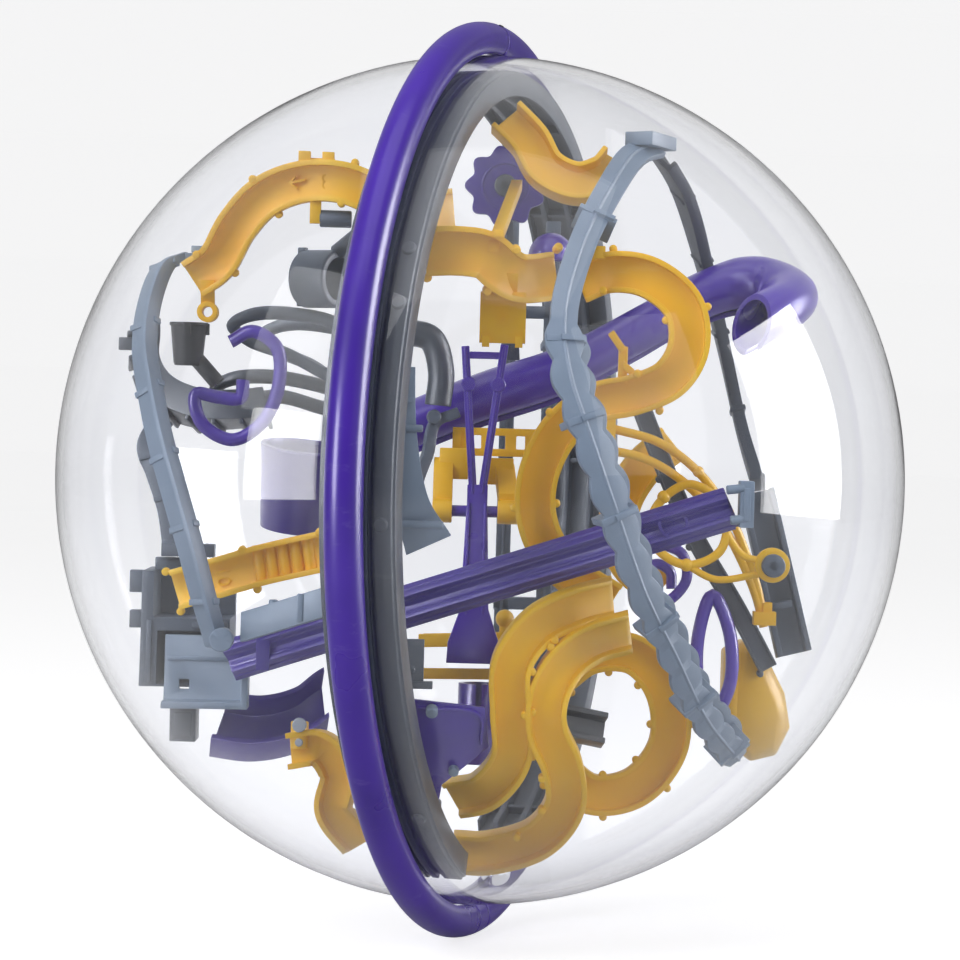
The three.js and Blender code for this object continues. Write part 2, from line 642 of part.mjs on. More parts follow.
const archRib = (t) => {
  const p = archLine.getPointAt(t);
  const n = p.clone().normalize();
  const side = archLine.getTangentAt(t).cross(n).normalize();
  const ends = [-RAIL_W / 2 - 1.6, RAIL_W / 2 + 0.8].map((d) => (
    p.clone().addScaledVector(side, d).addScaledVector(n, -2.6).toArray()
  ));
  return sweep(ends, bar(1.6, -3, 3), n.toArray(), 1);
};
const plainStops = Array.from({ length: 7 }, (_, i) => (i / 7) * SCALLOP_FROM);
const waveStops = Array.from({ length: SCALLOPS * 3 + 1 }, (_, i) => (
  SCALLOP_FROM + (i / (SCALLOPS * 3)) * (1 - SCALLOP_FROM)
));
add('scalloped_rail', join(
  sweep(ARCH, railFace, outward, [...plainStops, ...waveStops]),
  sweep(ARCH, railBack, outward, waveStops),
  ...[0.38, 0.47, 0.58, 0.72, 0.85, 0.98].map(archRib),
  strut([33.5, 25, 78.2], [39.5, 15, 77.6], 7, 3),
), PALE_GREY);

add('arch_rear_leg', sweep([
  [39.5, 12, 75], [45, 2, 67.5], [51, -10, 52], [56.5, -16, 33], [61.5, -15, 13], [65, -9, 1],
], (t) => {
  const w = 4.6 - 1.6 * t;
  return [
    [-w, -1.4], [w, -1.4], [w, 1.4], [w - 1.4, 1.4], [w - 1.4, 0], [1.4 - w, 0], [1.4 - w, 1.4], [-w, 1.4],
  ];
}, (t) => [0.7, 0, 0.7 - 0.6 * t], 12), DARK_GREY);

const [es, ef, ez] = EYE;
add('side_channel', join(
  sweep([[63.5, 6, -1], [73, 8, -38]], channel(8, 6, 1.3), [0, 1, 0.1], 1),
  strut([61, 12.4, ez], [70, 12.4, ez], 3, 2.4),
  rod([es, 12, ez], [es, ef + 5, ez], PIN_R, 12),
  rod([es, ef + 2, ez], [es, ef + 5, ez], 2.6, 12),
), MID_GREY);

add('inner_grey_leg', sweep([
  [36, 20, 18], [41, 20, 6], [49, 18, -11], [59, 16, -27], [67, 14, -41],
], bar(4.4, -1.5, 1.5), [0, 1, 0], 8), DARK_GREY);

add('beam_end_clip', join(
  block([57.5, 62, -2.5], 3, 8, 10),
  rod([53, 65.3, 0.5], [57, 65.3, 1], 1, 8),
  rod([54, 65.3, -6], [58, 65.3, -5.5], 1, 8),
), PALE_GREY);

const wire = (ds, dz) => sweep([
  [29, 30, 13], [40, 31, 10], [49, 31, 3.5], [56, 29, -5.5], [59.7, 27, -13], [63.4, 25, -23], [65, 23, -31],
].map((q, i) => [q[0] - ds * (1 - i / 6), q[1], q[2] - dz * (1 - i / 6)]), disc(1, 6), [0, 1, 0], 10);
add('wire_rails', join(
  wire(0, 0),
  wire(3.5, 4.5),
  block([65, 23.5, -29], 5, 5, 3),
  block([28, 30, 10.5], 4, 4, 9),
), YELLOW);

add('eyelet_hoop', join(
  tube([es, ef - 1, ez], [es, ef + 1, ez], 3.9, BORE_R, 14),
  sweep([
    [46.5, ef, 1], [39, ef, -5], [39.5, ef, -13], [46.5, ef, -17], [54, ef, -13.5], [54.5, ef, -4],
  ], disc(1, 6), [0, 1, 0], 18, true),
  sweep([[55, ef, -9.5], [59, ef, -14.5], [63, ef, -15.6]], disc(0.8, 6), [0, 1, 0], 4),
  sweep([[46.5, ef, -17], [53, ef, -20], [62.6, ef, -18.6]], disc(0.8, 6), [0, 1, 0], 4),
), YELLOW);

add('rear_curved_track', sweep([
  [44, 8, 10], [37, 10, 4], [32, 12, -6], [34, 12, -17], [42, 10, -24],
], channel(9, 5, 1.2), [0, 1, 0], 12), YELLOW);

add('purple_spiral', sweep([
  [42, 25, -13], [46, 26, -15], [47, 26, -21], [42, 25, -26],
  [38, 24, -22], [40, 22.4, -17.5], [43.5, 22, -19], [44, 22, -23],
], disc(1.2, 6), [0, 1, 0], 18), PURPLE, 0.35);

add('purple_long_loop', sweep([
  [53, 27, -24], [50, 27, -34], [51, 26, -46], [54.5, 25, -50], [57.5, 26, -44], [57, 27, -32],
], disc(1.5, 7), [0, 1, 0], 20, true), PURPLE, 0.35);

const HOOD = [
  [57.5, -38], [62, -35.5], [67, -38.5], [71.5, -47], [73, -55], [70, -61.5], [64, -63], [57.5, -58],
];
const hoodRow = (f, grow) => HOOD.map((q) => at([64 + (q[0] - 64) * grow, f, -49 + (q[1] + 49) * grow]));
add('yellow_hood', cut(
  skin([hoodRow(-8, 1), hoodRow(7, 1), hoodRow(12, 0.6)], HOOD),
  skin([hoodRow(-12, 0.84), hoodRow(6, 0.84), hoodRow(10, 0.5)], HOOD),
), YELLOW);

// ---- Bottom ----

add('twin_lane_track', join(
  sweep([
    [34, 45, -31], [25.5, 50, -33.5], [19.5, 54, -38], [16, 57, -45], [16, 57, -52], [19.5, 54, -60],
    [20.5, 46, -69], [15, 37, -77.5], [4, 30, -82], [-3, 26.5, -82.5],
  ], channel(), [0, 0.9, -0.2], 18),
  sweep([
    [30, 45, -23.6], [22, 50, -25.7], [13.5, 54, -30], [8, 57, -38],
    [8, 57, -48], [8.5, 54, -58], [3, 46, -66.5], [-4.5, 38, -69.5],
  ], channel(), [0, 0.9, -0.2], 15),
  strut([15, 56.9, -48.3], [9, 56.9, -48.3], 4, 1.6),
), YELLOW);

add('oval_loop_track', sweep([
  [19, 24, -43], [26, 24, -38], [36, 24, -38], [43, 24, -46],
  [44, 24, -58], [37, 24, -67.5], [27, 24, -69.5], [19, 24, -64],
], channel(), [0, 1, 0], 20), YELLOW);

add('dark_u_channel', sweep([[14, 40, -52], [29, 36, -55]], channel(7, 6, 1.3), [0.1, 1, 0.3], 1), BLACK);

const ballAngle = THREE.MathUtils.degToRad(BALL_SIDE_DEG);
add('steel_ball', new THREE.SphereGeometry(BALL_R, 14, 9).translate(
  BALL_PATH_R * Math.sin(ballAngle), 0, -BALL_PATH_R * Math.cos(ballAngle),
), STEEL, 0.15, 1);

export default ball;
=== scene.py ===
import bmesh
import bpy
import math
import numpy as np
from mathutils import Matrix, Vector


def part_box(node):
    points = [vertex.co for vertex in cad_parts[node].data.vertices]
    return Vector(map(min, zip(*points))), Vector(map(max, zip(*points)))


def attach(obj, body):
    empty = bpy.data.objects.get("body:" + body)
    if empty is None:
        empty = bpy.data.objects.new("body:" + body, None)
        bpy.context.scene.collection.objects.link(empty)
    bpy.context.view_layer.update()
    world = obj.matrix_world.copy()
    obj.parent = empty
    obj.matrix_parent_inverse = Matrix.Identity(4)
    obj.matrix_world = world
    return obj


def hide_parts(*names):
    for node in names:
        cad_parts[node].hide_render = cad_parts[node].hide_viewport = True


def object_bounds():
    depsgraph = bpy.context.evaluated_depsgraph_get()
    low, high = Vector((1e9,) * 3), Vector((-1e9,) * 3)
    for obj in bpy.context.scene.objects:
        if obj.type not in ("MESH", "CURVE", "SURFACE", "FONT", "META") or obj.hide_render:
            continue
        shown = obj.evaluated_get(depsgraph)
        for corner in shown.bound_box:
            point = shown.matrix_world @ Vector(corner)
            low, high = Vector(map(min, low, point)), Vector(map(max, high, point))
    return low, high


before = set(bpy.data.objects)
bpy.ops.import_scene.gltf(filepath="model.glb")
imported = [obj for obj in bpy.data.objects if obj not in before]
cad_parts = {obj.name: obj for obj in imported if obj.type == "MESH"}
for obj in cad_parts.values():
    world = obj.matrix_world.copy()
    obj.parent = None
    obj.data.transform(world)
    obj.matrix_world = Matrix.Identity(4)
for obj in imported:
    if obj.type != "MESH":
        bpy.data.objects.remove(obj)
cad_box = [list(corner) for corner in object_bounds()]

# ---- Studio ----
# The ball stands on a plain pale floor under a tall soft box on each side, a large one above
# and a white surround. The camera looks slightly down from the right of the ring's front.
BALL_BOTTOM = cad_box[0][2]
CAMERA_AZIMUTH = math.radians(16.2)
CAMERA_RISE = math.radians(1.06)
CAMERA_ROLL = math.radians(1.58)
CAMERA_DISTANCE = 0.954
CAMERA_LENS = 154.3


def direction(azimuth, rise):
    return Vector((math.sin(azimuth) * math.cos(rise), -math.cos(azimuth) * math.cos(rise), math.sin(rise)))


lens = bpy.data.cameras.new("camera")
lens.lens = CAMERA_LENS
lens.sensor_width = 36
lens.clip_start, lens.clip_end = 0.01, 50
camera = bpy.data.objects.new("camera", lens)
bpy.context.scene.collection.objects.link(camera)
bpy.context.scene.camera = camera
back = direction(CAMERA_AZIMUTH, CAMERA_RISE)
level = Vector((math.cos(CAMERA_AZIMUTH), math.sin(CAMERA_AZIMUTH), 0))
upright = back.cross(level)
right = math.cos(CAMERA_ROLL) * level + math.sin(CAMERA_ROLL) * upright
camera.matrix_world = Matrix((right, back.cross(right), back)).transposed().to_4x4()
camera.location = back * CAMERA_DISTANCE


def soft_box(name, azimuth, rise, distance, width, height, radiance, lights=True, mirrored=True):
    light = bpy.data.lights.new(name, "AREA")
    light.shape = "RECTANGLE"
    light.size, light.size_y = width, height
    light.energy = radiance * math.pi * width * height
    lamp = bpy.data.objects.new(name, light)
    lamp.visible_diffuse = lights
    lamp.visible_glossy = mirrored
    bpy.context.scene.collection.objects.link(lamp)
    way = direction(math.radians(azimuth), math.radians(rise))
    lamp.location = way * distance
    lamp.rotation_euler = way.to_track_quat("Z", "Y").to_euler()


# Tall windows show only in the gloss, the keys only light, and the top box does both.
soft_box("window_left", -36, -2, 1.2, 0.42, 0.74, 13, lights=False)
soft_box("window_right", 109, 6, 1.2, 0.66, 1.10, 12, lights=False)
soft_box("key_left", -34, 32, 1.3, 0.8, 0.8, 5.0, mirrored=False)
soft_box("key_right", 62, 22, 1.3, 0.7, 0.9, 2.4, mirrored=False)
soft_box("soft_box_top", 10, 72, 1.3, 1.2, 1.2, 1.1)

def wired(group, kind, inputs=(), **settings):
    """Adds a node; an input that is another node's socket is linked, and any other is a value."""
    node = group.nodes.new(kind)
    for key, value in settings.items():
        setattr(node, key, value)
    for socket, value in dict(inputs).items():
        if isinstance(value, bpy.types.NodeSocket):
            group.links.new(value, node.inputs[socket])
        else:
            node.inputs[socket].default_value = value
    return node


def mirrored_only(group, path):
    """1 for a ray that a surface mirrors, 0 for one that has passed through the clear bowls."""
    return wired(group, "ShaderNodeMath", {0: path.outputs["Is Glossy Ray"],
        1: path.outputs["Is Transmission Ray"]},
                 operation="SUBTRACT", use_clamp=True).outputs[0]


# White to the camera, weaker as a fill on the mouldings and as what they mirror.
SEEN_WHITE = 1.0
FILL_STRENGTH = 0.24
MIRROR_STRENGTH = 0.3
surround = bpy.data.worlds.new("surround")
bpy.context.scene.world = surround
surround.use_nodes = True
sky_tree = surround.node_tree
sky = sky_tree.nodes["Background"]
seen = wired(sky_tree, "ShaderNodeLightPath")
fill = wired(sky_tree, "ShaderNodeMapRange", {
    "Value": seen.outputs["Is Diffuse Ray"], "To Min": SEEN_WHITE, "To Max": FILL_STRENGTH})
sheen = wired(sky_tree, "ShaderNodeMapRange", {
    "Value": mirrored_only(sky_tree, seen), "To Min": fill.outputs["Result"], "To Max": MIRROR_STRENGTH})
sky_tree.links.new(sheen.outputs["Result"], sky.inputs["Strength"])
sky.inputs["Color"].default_value = (1, 1, 1, 1)
bpy.context.scene.view_settings.view_transform = "Standard"

FLOOR_FLAT = 2.6
FLOOR_CURVE = 1.4
FLOOR_TURNS = 64
floor_rows = [(r, 0) for r in (0.3, 0.8, 1.6, FLOOR_FLAT)] + [
    (FLOOR_FLAT + FLOOR_CURVE * math.sin(a), FLOOR_CURVE * (1 - math.cos(a))) for a in np.linspace(0.15,
    math.pi / 2, 10)
]
floor_mesh = bpy.data.meshes.new("floor")
corners = [
    (r * math.cos(2 * math.pi * k / FLOOR_TURNS), r * math.sin(2 * math.pi * k / FLOOR_TURNS),
    BALL_BOTTOM - 0.0004 + h)
    for r, h in floor_rows
    for k in range(FLOOR_TURNS)
]
sides = [
    (row * FLOOR_TURNS + k, row * FLOOR_TURNS + (k + 1) % FLOOR_TURNS,
     (row + 1) * FLOOR_TURNS + (k + 1) % FLOOR_TURNS, (row + 1) * FLOOR_TURNS + k)
    for row in range(len(floor_rows) - 1)
    for k in range(FLOOR_TURNS)
]
floor_mesh.from_pydata(corners, [], [tuple(range(FLOOR_TURNS))] + sides)
floor = bpy.data.objects.new("floor", floor_mesh)
bpy.context.scene.collection.objects.link(floor)
PAPER_GLOW = 0.72
paper = bpy.data.materials.new("floor_paper")
paper.use_nodes = True
paper_face = paper.node_tree.nodes["Principled BSDF"]
paper_face.inputs["Roughness"].default_value = 0.9
paper_face.inputs["Base Color"].default_value = (0.5, 0.5, 0.51, 1)
paper_tree = paper.node_tree
paper_path = wired(paper_tree, "ShaderNodeLightPath")
bounced = wired(paper_tree, "ShaderNodeMath", {
    0: paper_path.outputs["Is Diffuse Ray"], 1: mirrored_only(paper_tree, paper_path)}, operation="MAXIMUM")
paper_glow = wired(paper_tree, "ShaderNodeMapRange", {
    "Value": bounced.outputs[0], "To Min": PAPER_GLOW, "To Max": 0.0})
paper_face.inputs["Emission Color"].default_value = (1, 1, 1, 1)
paper_tree.links.new(paper_glow.outputs["Result"], paper_face.inputs["Emission Strength"])
floor_mesh.materials.append(paper)

# ---- Clear bowls ----
# Two bowls of clear polished styrene with a thin flange at the rim. Each is one blown-clean
# moulding, turned about the X axis; the flanges meet at the middle and sit in the purple ring.
SHELL = 0.098
SHELL_WALL = 0.0017
FLANGE = 0.0996
FLANGE_THICK = 0.0015
HALF_GAP = 0.00015
BOWL_ROWS = 48
BOWL_SIDES = 128


def mesh_of(corners, sides):
    made = bpy.data.meshes.new("bit")
    made.from_pydata([tuple(c) for c in corners], [], [tuple(s) for s in sides])
    return made


def brick(xs, ys, zs):
    faces = [(0, 1, 3, 2), (4, 6, 7, 5), (0, 4, 5, 1), (2, 3, 7, 6), (0, 2, 6, 4), (1, 5, 7, 3)]
    return mesh_of([(x, y, z) for x in xs for y in ys for z in zs], faces)


def skin(rings):
    """A closed solid through rings of corners, with a flat face over the first and the last."""
    n, last = len(rings[0]), len(rings) - 1
    faces = [
        (k * n + j, k * n + (j + 1) % n, (k + 1) * n + (j + 1) % n, (k + 1) * n + j)
        for k in range(last)
        for j in range(n)
    ]
    ends = [tuple(range(n)), tuple(range(last * n, last * n + n))]
    return mesh_of([c for ring in rings for c in ring], faces + ends)


def turned(outline, start, end, sides=32):
    """An outline of (radius, along) turned about the line from start towards end; radius 0 closes a pole."""
    axis = (end - start).normalized()
    across = axis.orthogonal().normalized()
    other = axis.cross(across)
    angles = [2 * math.pi * k / sides for k in range(sides)]
    corners = [
        start + axis * along + (across * math.cos(a) + other * math.sin(a)) * max(r, 1e-9)
        for a in angles
        for r, along in outline
    ]
    n = len(outline)
    faces = [
        (k * n + j, k * n + (j + 1) % n, (k + 1) % sides * n + (j + 1) % n, (k + 1) % sides * n + j)
        for k in range(sides)
        for j in range(n)
    ]
    return mesh_of(corners, faces)


SOFTENED = math.radians(42)
CREASE = math.radians(38)


def piece(name, bits, finish, body="root", nodes=None, bevel=0.00022):
    """Joins the bits of one moulding, softens its edges, and puts it on its body in place of its CAD nodes,
    which are the ones of its own name where none are given."""
    form = bmesh.new()
    for bit in bits:
        form.from_mesh(bit)
        bpy.data.meshes.remove(bit)
    bmesh.ops.remove_doubles(form, verts=form.verts, dist=2e-6)
    bmesh.ops.dissolve_degenerate(form, edges=form.edges, dist=1e-6)
    bmesh.ops.recalc_face_normals(form, faces=form.faces)
    if bevel:
        edges = [e for e in form.edges if len(e.link_faces) == 2 and e.calc_face_angle() > SOFTENED]
        bmesh.ops.bevel(form, geom=edges, offset=bevel, segments=2, profile=0.5, affect="EDGES",
            clamp_overlap=True)
        bmesh.ops.recalc_face_normals(form, faces=form.faces)
    mesh = bpy.data.meshes.new(name)
    form.to_mesh(mesh)
    form.free()
    mesh.polygons.foreach_set("use_smooth", [True] * len(mesh.polygons))
    mesh.set_sharp_from_angle(angle=CREASE)
    mesh.materials.clear()
    mesh.materials.append(finish)
    made = bpy.data.objects.new(name, mesh)
    bpy.context.scene.collection.objects.link(made)
    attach(made, body)
    nodes = [name] if nodes is None else nodes
    if nodes:
        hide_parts(*nodes)


def linear(r, g, b):
    """A colour given as it looks on a screen, as the light values that a shader needs."""
    return tuple(((c / 255 + 0.055) / 1.055) ** 2.4 if c > 10 else c / 3294.6 for c in (r, g, b)) + (1,)


def shader_group(name, inputs, outputs):
    group = bpy.data.node_groups.new(name, "ShaderNodeTree")
    for label, kind, value in inputs:
        group.interface.new_socket(label, in_out="INPUT", socket_type=kind).default_value = value
    for label, kind in outputs:
        group.interface.new_socket(label, in_out="OUTPUT", socket_type=kind)
    return group, group.nodes.new("NodeGroupInput"), group.nodes.new("NodeGroupOutput")


# Handling marks: faint smears and hairline scuffs, used by every glossy moulding.
marks, marks_in, marks_out = shader_group(
    "handling_marks",
    [("Smear Scale", "NodeSocketFloat", 40.0), ("Hair Scale", "NodeSocketFloat", 260.0)],
    [("Smears", "NodeSocketFloat"), ("Hairs", "NodeSocketFloat")],
)
marks_place = wired(marks, "ShaderNodeTexCoord")
smears = wired(marks, "ShaderNodeTexNoise", {"Vector": marks_place.outputs["Object"],
    "Scale": marks_in.outputs[0], "Detail": 3.0, "Roughness": 0.55, "Distortion": 0.4})
stretch = wired(marks, "ShaderNodeMapping", {"Vector": marks_place.outputs["Object"],
    "Rotation": (0.5, 0.9, 0.3), "Scale": (0.12, 1.0, 1.0)})
hairs = wired(marks, "ShaderNodeTexNoise", {"Vector": stretch.outputs[0], "Scale": marks_in.outputs[1],
    "Detail": 6.0, "Roughness": 0.7})
hair_cut = wired(marks, "ShaderNodeMapRange",
    {"Value": hairs.outputs["Fac"], "From Min": 0.6, "From Max": 0.72})
smear_cut = wired(marks, "ShaderNodeMapRange",
    {"Value": smears.outputs["Fac"], "From Min": 0.35, "From Max": 0.75})
marks.links.new(smear_cut.outputs[0], marks_out.inputs[0])
marks.links.new(hair_cut.outputs[0], marks_out.inputs[1])

# Clear styrene: a polished skin that is only very slightly uneven, so the soft boxes show whole in it.
clear_styrene = bpy.data.materials.new("clear_styrene")
clear_styrene.use_nodes = True
tree = clear_styrene.node_tree
glassy = tree.nodes["Principled BSDF"]
glassy.inputs["Transmission Weight"].default_value = 1.0
glassy.inputs["IOR"].default_value = 1.33
glassy.inputs["Specular IOR Level"].default_value = 0.7
clear_marks = wired(tree, "ShaderNodeGroup", node_tree=marks)
polish = wired(tree, "ShaderNodeMapRange", {"Value": clear_marks.outputs["Smears"], "To Min": 0.0,
    "To Max": 0.03})
tree.links.new(polish.outputs[0], glassy.inputs["Roughness"])
tint = wired(tree, "ShaderNodeMixRGB", {"Fac": clear_marks.outputs["Smears"],
    "Color1": (0.972, 0.976, 0.992, 1), "Color2": (0.955, 0.962, 0.985, 1)})
tree.links.new(tint.outputs[0], glassy.inputs["Base Color"])
wave = wired(tree, "ShaderNodeTexNoise", {"Vector": wired(tree, "ShaderNodeTexCoord").outputs["Object"],
    "Scale": 22.0, "Detail": 1.0})
# A faint waviness, as a thin blown wall has.
wave_skin = wired(tree, "ShaderNodeBump", {"Height": wave.outputs["Fac"], "Strength": 0.06,
    "Distance": 0.002})
tree.links.new(wave_skin.outputs[0], glassy.inputs["Normal"])
path = wired(tree, "ShaderNodeLightPath")
straight = wired(tree, "ShaderNodeBsdfTransparent", {"Color": (0.93, 0.93, 0.96, 1)})
shadow_or_fill = wired(tree, "ShaderNodeMath",
    {0: path.outputs["Is Shadow Ray"], 1: path.outputs["Is Diffuse Ray"]}, operation="MAXIMUM")
mixed = wired(tree, "ShaderNodeMixShader", {0: shadow_or_fill.outputs[0], 1: glassy.outputs[0],
    2: straight.outputs[0]})
tree.links.new(mixed.outputs[0], tree.nodes["Material Output"].inputs["Surface"])

for side, name in ((-1, "clear_bowl_left"), (1, "clear_bowl_right")):
    inner = SHELL - SHELL_WALL
    rim = HALF_GAP + FLANGE_THICK
    rise = [(i / BOWL_ROWS) * (math.pi / 2 - 0.02) for i in range(BOWL_ROWS + 1)]
    outline = [(SHELL * math.sin(a), SHELL * math.cos(a)) for a in rise]
    outline += [(math.sqrt(SHELL**2 - rim**2), rim), (FLANGE, rim), (FLANGE, HALF_GAP)]
    outline += [(math.sqrt(inner**2 - HALF_GAP**2), HALF_GAP)]
    outline += [(inner * math.sin(a), inner * math.cos(a)) for a in reversed(rise)]
    piece(name, [turned(outline, Vector((0, 0, 0)), Vector((side, 0, 0)), BOWL_SIDES)], clear_styrene,
        bevel=0.0)

# ---- Purple ring ----
# A hand ring of glossy purple ABS with a D-shaped slot inside that grips both flanges. Two halves
# and a short closing piece at the bottom; the top one has a moulding slot.
RING = 0.1015
RING_TUBE = 0.00415
RING_INNER = 0.0984
RING_SLOT_HALF = 0.00195
RING_SLOT = 0.0999
RING_KEY = 4.0
SEAM = 0.09

swept_tree = bpy.data.node_groups.new("swept_moulding", "GeometryNodeTree")
stud_tree = bpy.data.node_groups.new("studs_along_a_run", "GeometryNodeTree")
run_sockets = {}
for tree, inputs in (
    (swept_tree, (("Run", "Geometry"), ("Outline", "Object"), ("Finish", "Material"))),
    (stud_tree, (("Run", "Geometry"), ("Stud", "Object"), ("Count", "Int"), ("Finish", "Material"))),
):
    for label, kind in inputs:
        made = tree.interface.new_socket(label, in_out="INPUT", socket_type="NodeSocket" + kind)
        run_sockets[tree.name, label] = made.identifier
    tree.interface.new_socket("Geometry", in_out="OUTPUT", socket_type="NodeSocketGeometry")
    given = wired(tree, "NodeGroupInput")
    run = wired(tree, "GeometryNodeMeshToCurve", {"Mesh": given.outputs["Run"]})
    lift = wired(tree, "GeometryNodeInputNamedAttribute", {"Name": "lift"}, data_type="FLOAT_VECTOR")
    aimed = wired(tree, "GeometryNodeSetCurveNormal", {"Curve": run.outputs[0], "Normal": lift.outputs[0]},
        mode="FREE")
    shape = wired(tree, "GeometryNodeObjectInfo", {"Object": given.outputs[1]})
    if tree is swept_tree:
        edge = wired(tree, "GeometryNodeMeshToCurve", {"Mesh": shape.outputs["Geometry"]})
        size = wired(tree, "GeometryNodeInputNamedAttribute", {"Name": "size"}, data_type="FLOAT")
        form = wired(tree, "GeometryNodeCurveToMesh",
            {"Curve": aimed.outputs[0], "Profile Curve": edge.outputs[0], "Scale": size.outputs[0],
            "Fill Caps": True})
    else:
        spots = wired(tree, "GeometryNodeCurveToPoints",
            {"Curve": aimed.outputs[0], "Count": given.outputs["Count"]}, mode="COUNT")
        form = wired(tree, "GeometryNodeInstanceOnPoints",
            {"Points": spots.outputs["Points"], "Instance": shape.outputs["Geometry"],
            "Rotation": spots.outputs["Rotation"]})
    real = wired(tree, "GeometryNodeRealizeInstances", {"Geometry": form.outputs[0]})
    coated = wired(tree, "GeometryNodeSetMaterial",
        {"Geometry": real.outputs[0], "Material": given.outputs["Finish"]})
    tree.links.new(coated.outputs[0], wired(tree, "NodeGroupOutput").inputs[0])


def strand(points, closed=False, lifts=None, sizes=None):
    """Points joined by edges, carrying which way is up and how large the outline is at each."""
    made = bpy.data.meshes.new("strand")
    n = len(points)
    made.from_pydata([tuple(p) for p in points], [(i, (i + 1) % n) for i in range(n if closed else n - 1)],
        [])
    if lifts is not None:
        made.attributes.new("lift", "FLOAT_VECTOR", "POINT").data.foreach_set("vector",
            [c for v in lifts for c in v])
        made.attributes.new("size", "FLOAT", "POINT").data.foreach_set("value", sizes)
    line = bpy.data.objects.new("strand", made)
    bpy.context.scene.collection.objects.link(line)
    return line


def grown(tree, line, shape, **values):
    """Runs one of the two trees on a strand and keeps the plain mesh."""
    growth = line.modifiers.new("growth", "NODES")
    growth.node_group = tree
    growth[run_sockets[tree.name, "Outline" if tree is swept_tree else "Stud"]] = shape
    for label, value in values.items():
        growth[run_sockets[tree.name, label]] = value
    result = bpy.data.meshes.new_from_object(line.evaluated_get(bpy.context.evaluated_depsgraph_get()))
    for used in (line, shape):
        mesh = used.data
        bpy.data.objects.remove(used)
        bpy.data.meshes.remove(mesh)
    return result


def even_run(places, steps, closed=False):
    """A smooth line through the places, cut into equal lengths."""
    p = np.array([tuple(q) for q in places], float)
    if closed:
        p = np.vstack([p[-1], p, p[0], p[1]])
    else:
        p = np.vstack([2 * p[0] - p[1], p, 2 * p[-1] - p[-2]])
    fine = []
    for a, b, c, d in zip(p, p[1:], p[2:], p[3:]):
        k0, k1, k2 = (max(np.linalg.norm(w) ** 0.5, 1e-9) for w in (b - a, c - b, d - c))
        m1 = ((b - a) / k0 - (c - a) / (k0 + k1) + (c - b) / k1) * k1
        m2 = ((c - b) / k1 - (d - b) / (k1 + k2) + (d - c) / k2) * k1
        t = np.linspace(0, 1, 40, endpoint=False)[:, None]
        ease_b, ease_c = 2 * t**3 - 3 * t**2 + 1, 3 * t**2 - 2 * t**3
        fine.append(ease_b * b + (t**3 - 2 * t**2 + t) * m1 + ease_c * c + (t**3 - t**2) * m2)
    fine.append(p[-2][None] if not closed else p[1][None])
    fine = np.vstack(fine)
    length = np.concatenate([[0], np.cumsum(np.linalg.norm(np.diff(fine, axis=0), axis=1))])
    stops = np.array(steps) if hasattr(steps, "__len__") else np.linspace(0, 1, steps + 1)
    if closed:
        stops = stops[:-1]
    return stops, np.stack([np.interp(stops * length[-1], length, fine[:, k]) for k in range(3)], axis=1)


def swept(places, outline, lift, steps=24, closed=False, size=None):
    """Carries an outline of (side, up) along a smooth line of world places."""
    stops, points = even_run(places, steps, closed)
    lifts = [lift(t) if callable(lift) else lift for t in stops]
    sizes = [size(t) if size else 1.0 for t in stops]
    line = strand(points, closed, lifts, sizes)
    return grown(swept_tree, line, strand([(up, side, 0) for side, up in outline], True))


def studded(places, lift, count, bits, closed=False, steps=48):
    """Sets copies of a stud (x up, y sideways, z along the run) at even distances along a smooth line."""
    stops, points = even_run(places, steps, closed)
    lifts = [lift(t) if callable(lift) else lift for t in stops]
    stud = bpy.data.objects.new("stud", one_mesh(bits))
    bpy.context.scene.collection.objects.link(stud)
    return grown(stud_tree, strand(points, closed, lifts, [1.0] * len(stops)), stud, Count=count)


def one_mesh(bits):
    form = bmesh.new()
    for bit in bits:
        form.from_mesh(bit)
        bpy.data.meshes.remove(bit)
    made = bpy.data.meshes.new("stud")
    form.to_mesh(made)
    form.free()
    return made


def round_outline(r, n=16, ry=None):
    return [(r * math.cos(2 * math.pi * k / n),
        (ry or r) * math.sin(2 * math.pi * k / n)) for k in range(n)]


def hooped(outline, radius, start, end, count):
    """An outline of (across, outward) carried round the X axis from one angle to another, measured
    from the top towards the front.
    """
    angles = [math.radians(start + (end - start) * k / count) for k in range(count + 1)]
    return skin([[(x, -math.sin(a) * (radius + out),
        math.cos(a) * (radius + out)) for x, out in outline] for a in angles])


foot = RING_INNER - RING
low = math.asin(foot / RING_TUBE)
ring_outline = [
    (RING_TUBE * math.cos(a), RING_TUBE * math.sin(a)) for a in np.linspace(low, math.pi - low, 30)
] + [(x * RING_SLOT_HALF, y) for x, y in ((-1, foot), (-1, RING_SLOT - RING), (1, RING_SLOT - RING),
(1, foot))]

# Gloss ABS: a coloured body that darkens a little in slow moulding clouds, under smears and hairline scuffs.
grain, grain_in, grain_out = shader_group(
    "moulding_grain",
    [("Grain Scale", "NodeSocketFloat", 1400.0), ("Cloud Scale", "NodeSocketFloat", 30.0)],
    [("Grain", "NodeSocketFloat"), ("Clouds", "NodeSocketFloat")],
)
grain_place = wired(grain, "ShaderNodeTexCoord")
fine_grain = wired(grain, "ShaderNodeTexNoise",
    {"Vector": grain_place.outputs["Object"], "Scale": grain_in.outputs[0], "Detail": 4.0,
    "Roughness": 0.65})
clouds = wired(grain, "ShaderNodeTexNoise", {"Vector": grain_place.outputs["Object"],
    "Scale": grain_in.outputs[1], "Detail": 2.0, "Distortion": 0.8})
cloud_cut = wired(grain, "ShaderNodeMapRange",
    {"Value": clouds.outputs["Fac"], "From Min": 0.3, "From Max": 0.7})
grain.links.new(fine_grain.outputs["Fac"], grain_out.inputs[0])
grain.links.new(cloud_cut.outputs[0], grain_out.inputs[1])


